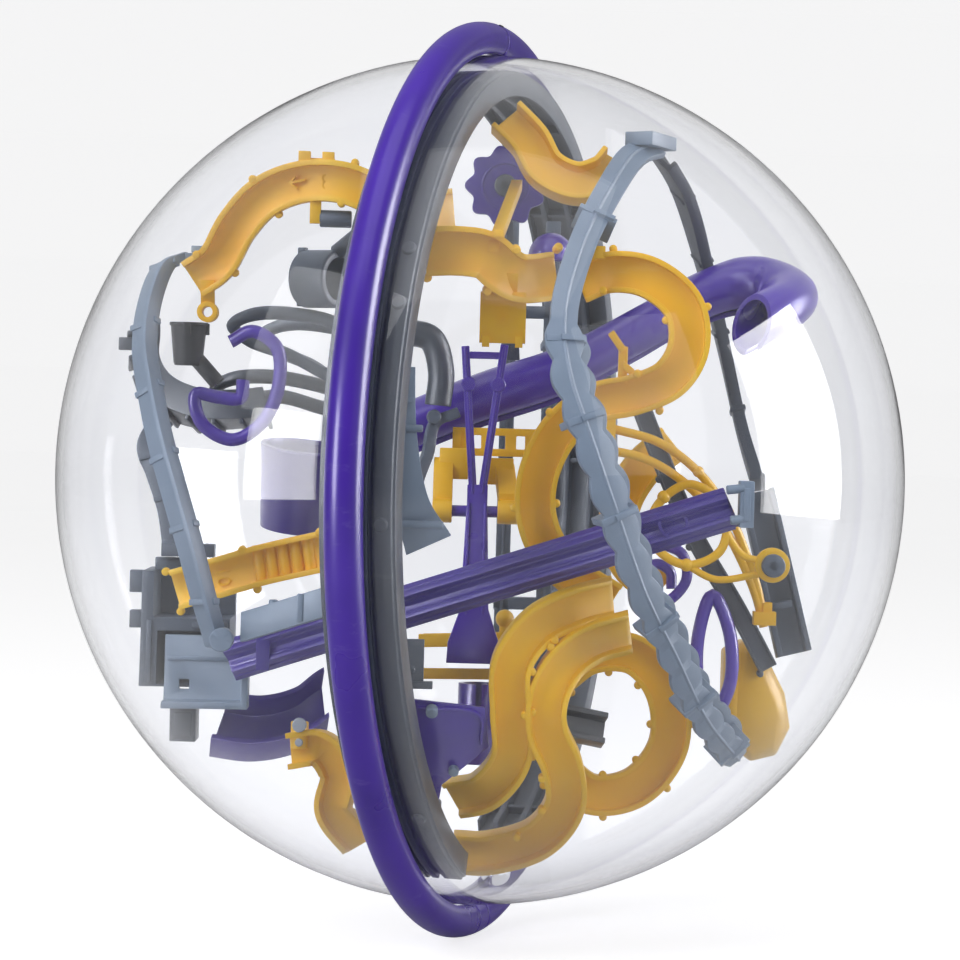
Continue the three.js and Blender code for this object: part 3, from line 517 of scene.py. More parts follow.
def moulded_plastic(name, light, dark, rough, grain_depth, smear=0.1, coat=0.0):
    """A coloured thermoplastic: clouds between two shades, grain in its skin, smears in its gloss."""
    finish = bpy.data.materials.new(name)
    finish.use_nodes = True
    tree = finish.node_tree
    body = tree.nodes["Principled BSDF"]
    skin = wired(tree, "ShaderNodeGroup", node_tree=grain)
    touched = wired(tree, "ShaderNodeGroup", node_tree=marks)
    shade = wired(tree, "ShaderNodeMixRGB", {"Fac": skin.outputs["Clouds"], "Color1": light,
        "Color2": dark})
    scuffs = wired(tree, "ShaderNodeMath", {0: touched.outputs["Hairs"], 1: 0.10}, operation="MULTIPLY")
    worn = tuple(min(1, 0.35 + c) for c in light[:3]) + (1,)
    scuffed = wired(tree, "ShaderNodeMixRGB",
        {"Fac": scuffs.outputs[0], "Color1": shade.outputs[0], "Color2": worn})
    tree.links.new(scuffed.outputs[0], body.inputs["Base Color"])
    gloss = wired(tree, "ShaderNodeMapRange",
        {"Value": touched.outputs["Smears"], "To Min": rough, "To Max": rough + smear})
    tree.links.new(gloss.outputs[0], body.inputs["Roughness"])
    bump = wired(tree, "ShaderNodeBump", {"Height": skin.outputs["Grain"], "Strength": 0.35,
        "Distance": grain_depth})
    tree.links.new(bump.outputs[0], body.inputs["Normal"])
    body.inputs["IOR"].default_value = 1.53
    body.inputs["Coat Weight"].default_value = coat
    body.inputs["Coat Roughness"].default_value = 0.12
    return finish


ring_purple = moulded_plastic("ring_purple", linear(70, 33, 168), linear(58, 26, 148), 0.27,
    0.00003, 0.07, 0.15)
key = RING_KEY / 2
front = hooped(ring_outline, RING, SEAM, 180 - key - SEAM, 150)
rear = hooped(ring_outline, RING, -SEAM, key + SEAM - 180, 150)
piece("ring_front", [front], ring_purple, nodes=["ring_front_half"], bevel=0.0001)
piece("ring_rear", [rear], ring_purple, nodes=["ring_rear_half"], bevel=0.0001)
piece("ring_closing", [hooped(ring_outline, RING, 180 - key + SEAM, 180 + key - SEAM, 6)], ring_purple,
      nodes=["ring_closing_piece"], bevel=0.0001)

# ---- Moulding slot ----
# The slot in the top of the ring, where a blade releases the two halves. It is moulded in with
# the ring; its hollow isn't cut, and the shade inside it is painted as a thin dark sliver, set a fraction
# proud of the tube.
# Painted shade: a near-black purple sliver that stands in for the shade inside the slot.
slot_painted_shade = moulded_plastic("slot_shadow", linear(20, 14, 40), linear(12, 8, 26), 0.6,
    0.00002)
slot_corners = ((-1, -0.8), (0, -1), (1, -0.8), (1, 0.8), (0, 1), (-1, 0.8))
slot_outline = [(0.00030 * x, 0.00135 * y) for x, y in slot_corners]
top = Vector((0.0022, -0.0004, RING + RING_TUBE * 0.83))
slot_run = [top - Vector((0.0007, 0, 0.0010)), top + Vector((0.00015, 0, 0.00022))]
piece("ring_slot", [swept(slot_run, slot_outline, (0, 1, 0), 1)], slot_painted_shade, nodes=(), bevel=0.00004)

# ---- Grey hoop ----
# The dark grey carrier hoop inside the bowls, one moulding with fine grooves in its outer face, four
# ridges inside, cross walls between them and round pegs that the tracks snap on to.
HOOP_OUT = 0.0944
HOOP_IN = 0.0914
HOOP_RIB = 0.0886
HOOP_HALF = 0.009
HOOP_LEFT = 0.0076
HOOP_OPEN = 21
HOOP_GROOVES = ((0.0030, 0.0041, 0.0009), (0.0008, 0.0013, 0.0005), (-0.0012, -0.0004, 0.0006))
RIDGE = 0.0007
CROSS_WALLS = 15
dark_moulding = moulded_plastic("dark_grey_moulding", linear(70, 78, 88), linear(58, 65, 75),
    0.38, 0.00007, 0.1)
hoop_outline = [(HOOP_HALF, HOOP_OUT - 0.0006), (0.0084, HOOP_OUT - 0.0006), (0.0082, HOOP_OUT)]
for x0, x1, deep in HOOP_GROOVES:
    hoop_outline += [(x1, HOOP_OUT), (x1, HOOP_OUT - deep), (x0, HOOP_OUT - deep), (x0, HOOP_OUT)]
hoop_outline.append((-HOOP_LEFT, HOOP_OUT))
for k, x in enumerate((-HOOP_LEFT, -HOOP_HALF / 3, HOOP_HALF / 3, HOOP_HALF)):
    x0 = x if k == 0 else x - RIDGE
    x1 = x if k == 3 else x + RIDGE
    hoop_outline += [(x0, HOOP_IN)] if k else []
    hoop_outline += [(x0, HOOP_RIB), (x1, HOOP_RIB)]
    hoop_outline += [(x1, HOOP_IN)] if k < 3 else []
cross_walls, pegs = [], []
wall_outline = [(x, HOOP_IN + 0.0005) for x in (-0.0074, 0.0088)] + [(x, HOOP_RIB + RIDGE) for x in (0.0088,
    -0.0074)]
for k in range(CROSS_WALLS):
    a = 180 - HOOP_OPEN - 6 - k * (360 - 2 * HOOP_OPEN - 12) / (CROSS_WALLS - 1)
    cross_walls.append(hooped(wall_outline, 0, a - 0.35, a + 0.35, 1))
peg = [(0, -0.0006), (0.0017, -0.0006), (0.0017, 0.0003), (0.0013, 0.0007), (0, 0.0008)]
peg_places = ((66, 0.0062), (58, 0.0062), (95, 0.006), (118, -0.004), (140, 0.006), (-60, 0.006),
    (-95, -0.005), (-130, 0.006))
for a, x in peg_places:
    out = Vector((0, -math.sin(math.radians(a)), math.cos(math.radians(a))))
    middle = Vector((x, 0, 0)) + out * (HOOP_OUT - 0.0002)
    pegs.append(turned(peg, middle, middle + out, 20))
piece("carrier_hoop", [hooped(hoop_outline, 0, 180 - HOOP_OPEN, HOOP_OPEN - 180, 180)] + cross_walls + pegs,
      dark_moulding, nodes=["equator_hoop"])

# ---- Upper left track ----
# A yellow U-shaped ABS track with raised step number and arrow on its floor, ejector nubs along its
# walls, a pair of lugs that clip on a grey bar, a bracket below and a boss with a hole.
TURN = math.radians(16.2)
TRACK_W = 9.0
TRACK_H = 4.6
TRACK_WALL = 1.2


def spot(s, f, z):
    """A place given as sideways, forward and up in the tracks' own turned layout, in millimetres."""
    across = s * math.cos(TURN) + f * math.sin(TURN)
    behind = s * math.sin(TURN) - f * math.cos(TURN)
    return Vector((across, behind, z)) / 1000


def way(s, f, z):
    return spot(s, f, z).normalized()


def run_of(places):
    return [spot(*p) for p in places]


def mm(outline):
    return [(x / 1000, y / 1000) for x, y in outline]


def plank(w, h):
    return mm([(-w, -h), (w, -h), (w, h), (-w, h)])


def channel(w=TRACK_W, h=TRACK_H, t=TRACK_WALL):
    half = w / 2
    return mm([(-half, 0), (half, 0), (half, h), (half - t, h), (half - t, t), (t - half, t), (t - half, h),
        (-half, h)])


def upright_for(a, b):
    return Vector((0, 0, 1)) if abs((b - a).normalized().z) < 0.8 else way(0, 1, 0)


def rod(a, b, r, n=20, lip=0.25):
    """A round bar in millimetres with its ends rounded over."""
    a, b = spot(*a), spot(*b)
    length = (b - a).length
    lip = min(lip, r * 0.6) / 1000
    r = r / 1000
    outline = [(0, 0), (r - lip, 0), (r - lip * 0.3, lip * 0.3), (r, lip), (r, length - lip),
        (r - lip * 0.3, length - lip * 0.3), (r - lip, length), (0, length)]
    return turned(outline, a, b, n)


def strut(a, b, w, h):
    a, b = spot(*a), spot(*b)
    return swept([a, b], plank(w / 2, h / 2), upright_for(a, b), 1)


def block(c, w, d, h):
    return strut((c[0], c[1], c[2] - h / 2), (c[0], c[1], c[2] + h / 2), w, d)


def sleeve(a, b, outer, inner, n=32):
    a, b = spot(*a), spot(*b)
    length = (b - a).length
    return turned([(inner / 1000, 0), (outer / 1000, 0), (outer / 1000, length), (inner / 1000, length)], a,
        b, n)


def wire(places, r, lift=(0, 1, 0), steps=60, closed=False, flat=None, size=None):
    return swept(run_of(places), round_outline(r / 1000, 12, flat and flat / 1000), way(*lift), steps,
        closed, size)


def nub(across, up, r=0.9, tall=2.0):
    """An ejector nub beside a wall: x is up off the track's floor and y across it, in millimetres."""
    foot_ = Vector((up - tall / 2, across, 0)) / 1000
    head = Vector((up + tall / 2, across, 0)) / 1000
    r, tall = r / 1000, tall / 1000
    return turned([(0, 0), (r * 0.7, 0), (r, r * 0.35), (r, tall - r * 0.35), (r * 0.7, tall), (0, tall)],
        foot_, head, 12)


def ball_outline(r, reach, n):
    """A ball's outline of (radius, along) for turning, with small flats at its poles."""
    arc = [(r * math.cos(a), r * math.sin(a)) for a in np.linspace(-reach, reach, n)]
    return [(0, -r), *arc, (0, r)]


def knob(s, f, z, r=1.1, reach=1.2, n=7, sides=14, axis=(0, 1, 0)):
    return turned(ball_outline(r / 1000, reach, n), spot(s, f, z),
        spot(s + axis[0], f + axis[1], z + axis[2]), sides)


def raised(words, s, f, z, size, reading, upward, height=0.5):
    """Raised moulded figures, made from flat lettering into a mesh before they are put in their place."""
    text = bpy.data.curves.new("figures", "FONT")
    text.body, text.size, text.extrude = words, size / 1000, height / 2000
    text.align_x = text.align_y = "CENTER"
    sign = bpy.data.objects.new("figures", text)
    bpy.context.scene.collection.objects.link(sign)
    made = bpy.data.meshes.new_from_object(sign.evaluated_get(bpy.context.evaluated_depsgraph_get()))
    bpy.data.objects.remove(sign)
    x = way(*reading)
    z_ = x.cross(way(*upward)).normalized()
    made.transform(Matrix.Translation(spot(s, f, z)) @ Matrix((x, z_.cross(x), z_)).transposed().to_4x4())
    return made


track_yellow = moulded_plastic("track_yellow", linear(246, 198, 20), linear(236, 180, 10),
    0.42, 0.00007, 0.1)
S_RUN = run_of([
    (-65.5, 27, 43.5), (-60, 30, 47.5), (-55.5, 32, 55.5), (-49.5, 34, 62), (-41, 36, 65.5),
    (-32, 38, 65.5), (-22, 38, 62), (-13, 34, 60.5), (-7.5, 28, 61),
])
piece("upper_left_track", [
    swept(S_RUN, channel(), way(0, 1, 0), 72),
    block((-40.6, 39, 70.9), 2.6, 3, 2.4), block((-35.4, 39, 70.9), 2.6, 3, 2.4),
    block((-38, 38.2, 70.2), 8, 1.4, 1.2),
    strut((-38, 39, 62.5), (-38, 39, 56.5), 2.4, 3),
    sleeve((-62, 25, 36.5), (-62, 31, 36.5), 2.3, 1.2), strut((-62, 29, 38.3), (-62, 31, 43.5), 3, 2.6),
    studded(S_RUN[1:-1], way(0, 1, 0), 4, [nub(4.7, 3.4), nub(-4.7, 3.4)]),
    raised("13", -35, 38.2, 66, 4.6, (-1, 0, 0), (0, 0, -1)),
    strut((-40.5, 38.0, 66), (-43.8, 37.6, 65.2), 0.7, 0.5),
    strut((-42.6, 37.8, 66.6), (-44, 37.6, 65.1), 0.7, 0.5),
    strut((-42.2, 37.8, 64.1), (-44, 37.6, 65.2), 0.7, 0.5),
], track_yellow)

# ---- Left outer rail ----
# A pale grey rail that follows the inside of the left bowl: a narrow face with one folded-back wall,
# short cross ribs where the mould was gated, a curved clip at the top and a round foot.
pale_moulding = moulded_plastic("pale_grey_moulding", linear(126, 143, 161),
    linear(112, 130, 148), 0.44, 0.00008, 0.1)
LEFT_RAIL = run_of([
    (-68, 20, 49), (-72, 26, 46.5), (-74.5, 32, 38.5), (-75, 38, 28.5), (-73, 44, 18.5),
    (-70, 50, 7.5), (-66.5, 54, -3), (-62.5, 57, -15), (-59, 57, -27), (-56, 54, -37),
])
rail_lift = way(-0.6, 0.8, 0.2)
rail_rib = brick((-0.0009, 0.0011), (-0.0036, 0.0036), (-0.0007, 0.0007))
piece("left_outer_rail", [
    swept(LEFT_RAIL, mm([(-3.2, -0.7), (3.2, -0.7), (3.2, 0.7), (-1.8, 0.7), (-1.8, 3.4), (-3.2, 3.4)]),
    rail_lift, 72),
    studded(LEFT_RAIL[1:-1], rail_lift, 6, [rail_rib]),
    rod((-55, 56, -35), (-55, 60.5, -35), 2.6, 28),
    block((-66.5, 23, 48.6), 4.4, 4, 2.2), block((-64, 26, 50.4), 4, 5, 1.6),
], pale_moulding)

# ---- Left drum and wire loops ----
# A short grey drum on a stalk, open through its middle, and three rounded wire loops that sort the
# ball; all in the middle grey moulding, the lowest loop in the darker one.
mid_moulding = moulded_plastic("mid_grey_moulding", linear(80, 91, 105), linear(66, 77, 90),
    0.42, 0.00008, 0.1)
drum_rim = mm([(4.9, 0), (6.2, 0), (6.6, 0.4), (6.6, 9.6), (6.2, 10), (4.9, 10)])
piece("left_drum", [
    turned(drum_rim, spot(-41, 14, 45), spot(-33, 20, 45), 48),
    rod((-34, 19, 51), (-29, 23, 55), 1.8), strut((-42.6, 14.4, 45.4), (-40.9, 15.7, 45.4), 1.2, 13.4),
    rod((-37, 39, 57.6), (-30, 39, 57.6), 1.9),
], mid_moulding)


def loop_line(s0, s1, f, z, drop):
    return [
        (s0, f, z), (s0 + 4, f + 3, z + 2.4), ((s0 + s1) / 2, f + 4.5, z + 3), (s1, f + 3.5, z),
        (s1 + 3, f - 0.5, z - drop), (s1 - 2, f - 4, z - drop - 2),
        ((s0 + s1) / 2, f - 4.5, z - drop * 0.7), (s0 + 3, f - 3, z - 3),
    ]


for name, ends, r, finish in (
    ("wire_loop_front", (-57.5, -32, 10, 34, 9), 1.6, mid_moulding),
    ("wire_loop_rear", (-51.5, -29, -4, 32, 9), 1.6, mid_moulding),
    ("wire_loop_low", (-62, -33, -4, 19.5, 2), 1.7, dark_moulding),
):
    piece(name, [wire(loop_line(*ends), r, (0, 0, 1), 90, True)], finish, bevel=0)

# ---- Black cup and dark trough ----
# A tapered black cup with a notched rim on a short spout, and the wide dark trough that catches
# what runs off it, with stiffening ribs under its floor and a tab at the mouth.
black_moulding = moulded_plastic("black_moulding", linear(44, 48, 54), linear(34, 38, 44),
    0.34, 0.00006, 0.1)
cup = turned(mm([(0.6, 0), (3.0, 0), (3.3, 0.8), (4.1, 9), (4.4, 9.1), (4.4, 9.8), (3.3, 9.8), (2.3, 1.4),
    (0.6, 1.4)]),
             spot(-67, 18, 24.5), spot(-67, 18, 40), 40)
piece("black_cup", [cup, rod((-65, 18, 26), (-60, 18, 20.5), 1.8),
    block((-67, 18 + 4.3, 32.6), 1.6, 1, 2.6), block((-62.8, 18, 32.8), 1, 1.6, 2.6)],
      black_moulding)
TROUGH = run_of([(-82.5, -8, 31), (-81, -6, 22), (-75.5, -2, 15), (-66, 2, 11.5), (-56, 4, 11.5),
    (-49, 4, 12.5)])


def trough_lift(t):
    return way(0.9 - 1.1 * t, -0.2, 0.4 + 0.6 * t)


trough_rib = brick((-0.0012, 0.0004), (-0.0053, 0.0053), (-0.0005, 0.0005))
piece("left_dark_trough", [
    swept(TROUGH, channel(11, 7, 1.4), trough_lift, 56),
    studded(TROUGH, trough_lift, 9, [trough_rib]),
    strut((-85.3, -6, 29.5), (-80, -6, 29.5), 3, 3),
], dark_moulding)

# ---- Purple hook and funnel ----
# The S-shaped hook is a bent purple rod, slightly flattened. The funnel stands behind it, a thin
# purple cone with a rolled rim.
# Painted shade: the ring's purple, darkened for the funnel, the lower trough and the turning disc, which are
# seen in shade.
deep_purple = moulded_plastic("deep_purple", linear(58, 30, 148), linear(48, 24, 130), 0.3,
    0.00004, 0.08, 0.1)
piece("purple_hook_rod", [wire([
    (-57, 26, 30), (-52, 27, 32.5), (-46.5, 27, 29), (-46, 26, 20), (-49.5, 25, 12), (-56, 25, 8),
    (-63, 25, 11.5), (-64.5, 25, 18), (-59.5, 25, 17.5), (-54.5, 25, 17.5), (-54, 25, 21.5),
], 1.5, (0, 1, 0.1), 110, flat=1.1)], ring_purple)
funnel = turned(mm([(7.2, 0), (8.5, 0), (10.4, 19), (10.7, 19.4), (10.6, 20), (9.3, 20), (9.2, 19)]),
                spot(-43, -14, -13), spot(-40.5, -10, 14), 56)
piece("purple_funnel", [funnel], deep_purple)

# ---- Left upright ----
# The curved stand that carries the trough from the catch box below. One middle grey moulding, a
# flat strip with short cross ribs, on a foot that is pushed into the box.
UPRIGHT = run_of([(-73.5, 6, 12), (-76.5, 8, 6), (-74, 12, 0), (-71, 14, -8), (-69.5, 15, -16)])
upright_rib = brick((-0.0015, 0.0015), (-0.0026, 0.0026), (-0.0006, 0.0006))
piece("left_upright", [
    swept(UPRIGHT, plank(2.5, 1.2), way(0, 1, 0), 40),
    studded(UPRIGHT, way(0, 1, 0), 4, [upright_rib]),
    block((-66, 15, -17.5), 12, 6, 3),
], mid_moulding)

# ---- Catch box ----
# A grey box with two pockets one above the other, tabs on its back edge, and the low pale tray in
# front of it with a small square drain in its floor.


def hollowed(bit, *tools):
    """A moulding with the tools' shapes taken out of it."""
    for shape in (bit, *tools):
        form = bmesh.new()
        form.from_mesh(shape)
        bmesh.ops.remove_doubles(form, verts=form.verts, dist=1e-7)
        bmesh.ops.recalc_face_normals(form, faces=form.faces)
        form.to_mesh(shape)
        form.free()
    held = bpy.data.objects.new("held", bit)
    bpy.context.scene.collection.objects.link(held)
    cutters = []
    for tool in tools:
        cutter = bpy.data.objects.new("cutter", tool)
        bpy.context.scene.collection.objects.link(cutter)
        taken = held.modifiers.new("taken", "BOOLEAN")
        taken.operation, taken.solver, taken.object = "DIFFERENCE", "EXACT", cutter
        cutters.append(cutter)
    made = bpy.data.meshes.new_from_object(held.evaluated_get(bpy.context.evaluated_depsgraph_get()))
    for used in [held, *cutters]:
        bpy.data.objects.remove(used)
    return made


piece("scoop_box", [
    hollowed(block((-65.5, 14, -35), 20, 22, 26), block((-63.8, 17, -26), 18, 22, 13),
    block((-64.2, 17, -41.5), 15, 22, 12)),
    block((-76.6, 22, -24.5), 3.6, 3, 5), block((-76.4, 22, -33), 3.6, 3, 4),
    block((-70.5, 14, -20.8), 6, 3, 3), block((-60, 25.3, -34), 8, 1, 1.4),
    block((-73.5, 25.3, -40), 1.2, 1, 14),
], mid_moulding)
piece("left_tray", [
    hollowed(block((-60, 31.4, -44), 19, 7.2, 16), block((-62, 33.2, -42), 19.8, 7.2, 16.8),
    block((-65, 29, -47), 2.2, 6, 2.2)),
    block((-62, 29.7, -41.2), 14, 0.8, 0.9),
], pale_moulding)

# ---- Wave track ----
# A straight yellow track whose floor carries five rounded waves that slow the ball, with a raised
# step number and nubs on its upper wall.
WAVE_RUN = run_of([(-67, 36, -25.5), (-58.5, 37.5, -22.8), (-48, 39.5, -19.4), (-33, 43, -15.5)])
waves = [rod((-47.5 + 11 * t, 40.3 + 3 * t, -23.6 + 2.6 * t), (-49 + 11 * t, 40.3 + 3 * t, -15 + 2.6 * t),
    1.3, 16)
         for t in (0, 0.25, 0.5, 0.75, 1)]
piece("wave_track", [
    swept(WAVE_RUN, channel(), way(0, 1, 0), 24), *waves,
    raised("10", -56.5, 39.4, -22.2, 4.4, (0.1, 0, -1), (1, 0, 0.1)),
    studded(WAVE_RUN, way(0, 1, 0), 3, [nub(4.7, 3.4), nub(-4.7, 3.4)]),
], track_yellow)

# ---- Left beam ----
# A bar from the catch box to the hoop in the pale grey plastic. It is moulded with a round peg
# and two cross walls, and its end hooks on to the hoop.
piece("left_grey_beam", [
    strut((-50.5, 56.5, -32.3), (-21, 70, -22), 3, 6.5), rod((-44, 59.8, -32.5), (-44, 59.8, -26), 1),
    block((-38, 63.6, -27.4), 1.4, 1.6, 6), block((-28, 68.0, -24.2), 1.4, 1.6, 6),
], pale_moulding)

# ---- Lower trough ----
# A wide trough that leads under the long beam, moulded with a U section in the ring's purple, which is
# darkened here as painted shade. A dark grey cap with a raised panel closes its outer end.
LOWER_TROUGH = run_of([(-59, 6, -60), (-50, 9, -60.5), (-41, 14, -58), (-34, 20, -53)])
piece("purple_lower_trough", [swept(LOWER_TROUGH, channel(13, 9, 1.4), way(0.1, 0.9, 0.6), 40)],
    deep_purple)
piece("trough_end_cap", [block((-66.5, 8, -57.5), 6, 10, 8), block((-66.5, 13.1, -57.5), 4, 0.8, 5.4)],
    dark_moulding)

# ---- Pin bracket ----
# The end of a yellow track that turns down at the lower left, in the same plastic and U section
# as the others. A bright grey pin is pressed through its lug.
piece("yellow_pin_bracket", [
    swept(run_of([(-40, 37, -60.5), (-33, 36, -60), (-29, 34, -66), (-30, 30, -74), (-24, 26, -82)]),
    channel(8, 4, 1.2), way(-0.3, 1, 0), 48),
    rod((-38.5, 38, -60), (-38.5, 38, -54), 2),
], track_yellow)
steel_grey = moulded_plastic("steel_grey_pin", linear(170, 178, 186), linear(150, 160, 170),
    0.2, 0.00003, 0.08)
piece("bracket_pin", [rod((-38.5, 39.5, -54.6), (-38.5, 41.4, -54.6), 1.6),
    rod((-38.5, 39.5, -58.5), (-38.5, 40.6, -58.5), 0.9)],
      steel_grey, nodes=())

# ---- Long beam ----
# The long purple bar across the front, a W-shaped extrusion look-alike moulded in one piece, with
# cross walls in its channels, a round dark socket towards the right end and a sliver of yellow in it.
BEAM_W = 9.4
BEAM_T = 1.4
BEAM_RUN = run_of([(-54.5, 37, -41), (54, 62, -3.5)])
beam_outline = mm([
    (-BEAM_W / 2, 0), (-3.9, 0.8), (-3.9, 1.1), (-3.4, 1.1), (-3.4, 1.3), (-BEAM_W / 4, 2.4), (-1.5, 1.75),
    (-1.5, 1.3), (-1.0, 1.3),
    (-1.0, 1.2), (0, 0.6), (1.0, 1.2), (1.0, 1.3), (1.5, 1.3), (1.5, 1.75), (BEAM_W / 4, 2.4), (3.4, 1.3),
    (3.4, 1.1), (3.9, 1.1),
    (3.9, 0.8), (BEAM_W / 2, 0),
    (BEAM_W / 2, -BEAM_T), (BEAM_W / 4, 2.4 - BEAM_T), (0, 0.6 - BEAM_T), (-BEAM_W / 4, 2.4 - BEAM_T),
    (-BEAM_W / 2, -BEAM_T),
])
beam_wall = mesh_of([(x, y, z) for z in (-0.0005,
    0.0005) for x, y in mm([(-1.4, -4.5), (0.8, -2.3), (-0.9, 0), (0.8, 2.3), (-1.4, 4.5)])],
                    [(0, 1, 2, 3, 4), (9, 8, 7, 6, 5), (0, 5, 6, 1), (1, 6, 7, 2), (2, 7, 8, 3),
                    (3, 8, 9, 4), (4, 9, 5, 0)])
socket = sleeve((42.3, 57.4, -7.2), (42.0, 60.9, -7.2), 3.3, 2.6)
# Painted shade: the ring's purple darkened further, for the shade that lies along the beam's grooves.
beam_purple_painted_shade = moulded_plastic("beam_purple_painted_shade", linear(52, 30, 138), linear(42, 24, 116), 0.34,
    0.00004, 0.05, 0.05)
piece("long_purple_beam", [
    swept(BEAM_RUN, beam_outline, way(0, 1, 0), 8), studded(BEAM_RUN, way(0, 1, 0), 12, [beam_wall]),
    socket,
    block((-47, 40.6, -38.3), 3, 1.2, 8.6),
], beam_purple_painted_shade)

# ---- Swinging fork ----
# A purple rocker on a cross pin: two slim prongs with small bosses and a tie, a ribbed stem and a
# flared foot. It swings between the two yellow bearings.
ps, pf, pz = -0.5, 30, -6.5
foot_rows = [(4.8, 0, 1.5), (6.4, -22, 1.8), (11.5, -29.5, 3), (12, -34, 3)]
foot_block = skin([[spot(ps + x * w / 2, pf + y * d, pz + h) for x, y in ((-1, 1), (1, 1), (1, -1),
    (-1, -1))]
                   for w, h, d in foot_rows])
piece("swinging_fork", [
    strut((ps - 1, pf, pz + 4), (ps - 3.6, pf, pz + 37), 1.8, 2.6),
    strut((ps + 1, pf, pz + 4), (ps + 5.2, pf, pz + 37.5), 1.8, 2.6),
    strut((ps - 1, pf + 1.4, pz + 4), (ps - 3.6, pf + 1.4, pz + 36.6), 0.6, 0.5),
    strut((ps + 1, pf + 1.4, pz + 4), (ps + 5.2, pf + 1.4, pz + 37), 0.6, 0.5),
    strut((ps - 2.6, pf, pz + 35), (ps + 4.2, pf, pz + 35), 2, 1.6),
    rod((ps - 2.6, pf - 2.2, pz + 28.5), (ps - 2.6, pf + 2.2, pz + 28.5), 1.7),
    rod((ps + 4, pf - 2.2, pz + 28.5), (ps + 4, pf + 2.2, pz + 28.5), 1.7),
    strut((ps, pf, pz + 6), (ps, pf, pz - 24), 4.6, 3),
    strut((ps - 1.9, pf + 0.6, pz + 2), (ps - 1.9, pf + 0.6, pz - 24), 0.7, 2.8),
    strut((ps + 1.9, pf + 0.6, pz + 2), (ps + 1.9, pf + 0.6, pz - 24), 0.7, 2.8),
    rod((ps - 9.2, pf, pz), (ps + 8.8, pf, pz), 1.3),
    foot_block,
], ring_purple, body="fork", nodes=["fork_arm"])

# ---- Fork bearings ----
# Two yellow sleeves on bent arms, which hold the ends of the fork's cross pin. Each is moulded in
# one with its arm and mounting block, and the pin runs in its bore.
for name, s0, s1, arm, stop, c, w, tall in (
    ("bearing_left", ps - 10, ps - 5.6, ps - 7.8, ps - 7.8, (ps - 5.5, pf - 7, pz + 10.5), 6.5, 7),
    ("bearing_right", ps + 4.6, ps + 9.2, ps + 7, ps + 6, (ps + 5, pf - 7, pz + 9), 6, 6),
):
    piece(name, [sleeve((s0, pf, pz), (s1, pf, pz), 2.7, 1.6),
        strut((arm, pf, pz + 2.2), (stop, pf - 6, pz + (10 if c[0] < 0 else 9)), 4.4, 4),
                 block(c, w, 4, tall)], track_yellow)

# ---- Slotted tube ----
# A short tube under the fork that guides the ball, moulded in the purple of the ring and slit down
# its front so that it can be drawn from the tool.
piece("slotted_tube",
    [hollowed(sleeve((1, 30, -63), (1, 30, -45), 4.6, 3.4), block((1, 34, -48), 1.2, 6, 8))], ring_purple)

# ---- Purple side plate ----
# A flat bracket at the edge of the hoop, moulded in purple with a raised rib along its upper
# edge. Three pale grey pins go through it and hold it on the hoop.
SIDE_PLATE = [(-13.5, -46.5), (2.5, -48), (3.5, -57), (-2, -62), (-6.5, -66), (-8, -75.5), (-12.5, -66),
    (-14.5, -56)]
side_plate = skin([[spot(s, f - 0.62 * (abs(z) - 46), z) for s, z in SIDE_PLATE] for f in (61, 63)])
piece("purple_side_plate", [
    side_plate,
    swept([spot(s, 63.4 - 0.62 * (abs(z) - 46), z) for s, z in ((-12.2, -48.4), (1.2, -49.6),
    (1.9, -56.4))], plank(0.4, 0.5), way(0, 1, -0.6), 14),
], ring_purple)
piece("side_plate_pins", [rod((-9, 62.2, -48.5), (-9, 64.2, -49.5), 1.3),
    rod((-4, 52.5, -62), (-4, 54.5, -63), 1.1), rod((-7.5, 47, -70), (-7.5, 49, -71), 1.0)],
      pale_moulding, nodes=())

# ---- Cross bars ----
# Two thin yellow bars behind the foot of the fork, tied at one end into one moulding. A ball knob
# on a short stub stands on the upper bar.
ball_knob = knob(6.5, 19, -31, 2.1, 1.4, 13, 24, (0, 0, 1))
piece("cross_bars", [
    strut((-13, 19, -36.5), (10, 19, -35.5), 2, 3), strut((-13, 30, -43.2), (10, 30, -42.8), 2, 2.4),
    strut((9, 18.5, -35.8), (9, 31, -43), 2.4, 2.4), rod((6.5, 19, -35.5), (6.5, 19, -32), 1.2), ball_knob,
    strut((-12, 19, -35.2), (6, 19, -34.4), 0.7, 0.7),
], track_yellow)

# ---- Centre track ----
# The yellow track that crosses above the fork, its drop box with two feet and a step number, and
# the strut that props the turning disc.
CENTRE_RUN = run_of([(-13, 61, 50), (-6, 62, 50.3), (0, 61.5, 49.5), (4, 59.5, 46.5), (8, 55, 45),
    (15.5, 49, 46)])
piece("centre_track", [
    swept(CENTRE_RUN, channel(10.5, 4.6, 1.2), way(0, 1, 0), 44),
    hollowed(block((4, 53, 36.5), 10, 9, 11), block((4, 53, 33), 7.4, 6.4, 14)),
    strut((4, 55, 40.5), (4, 59, 46), 6, 2.4), strut((1.5, 63, 51.5), (6.5, 21, 67.3), 2.4, 2.4),
    block((0.4, 57.9, 31.2), 1.6, 1, 2.4), block((7.6, 57.9, 31.2), 1.6, 1, 2.4),
    block((4, 57.9, 40.8), 8, 0.9, 1.2),
    raised("4", 4, 57.7, 36.4, 4.2, (-1, 0, 0), (0, 0, -1)),
    studded(CENTRE_RUN, way(0, 1, 0), 3, [nub(5.4, 3, 1.0, 2.6), nub(-5.4, 3, 1.0, 2.6)]),
    block((2.5, 65.2, 54.2), 2.2, 3, 1.6),
], track_yellow)

# ---- Turning disc ----
# A disc with nine rounded lobes, in the ring's purple darkened as painted shade, with a raised rim on
# both faces. It turns on a grey pin, which is moulded in one with the dark post that holds it.
DISC_R = 8.6
LOBE = 0.8
LOBES = 9


def disc_edge(a):
    r = (DISC_R + LOBE * math.cos(LOBES * a)) / 1000
    return r * math.cos(a), r * math.sin(a)


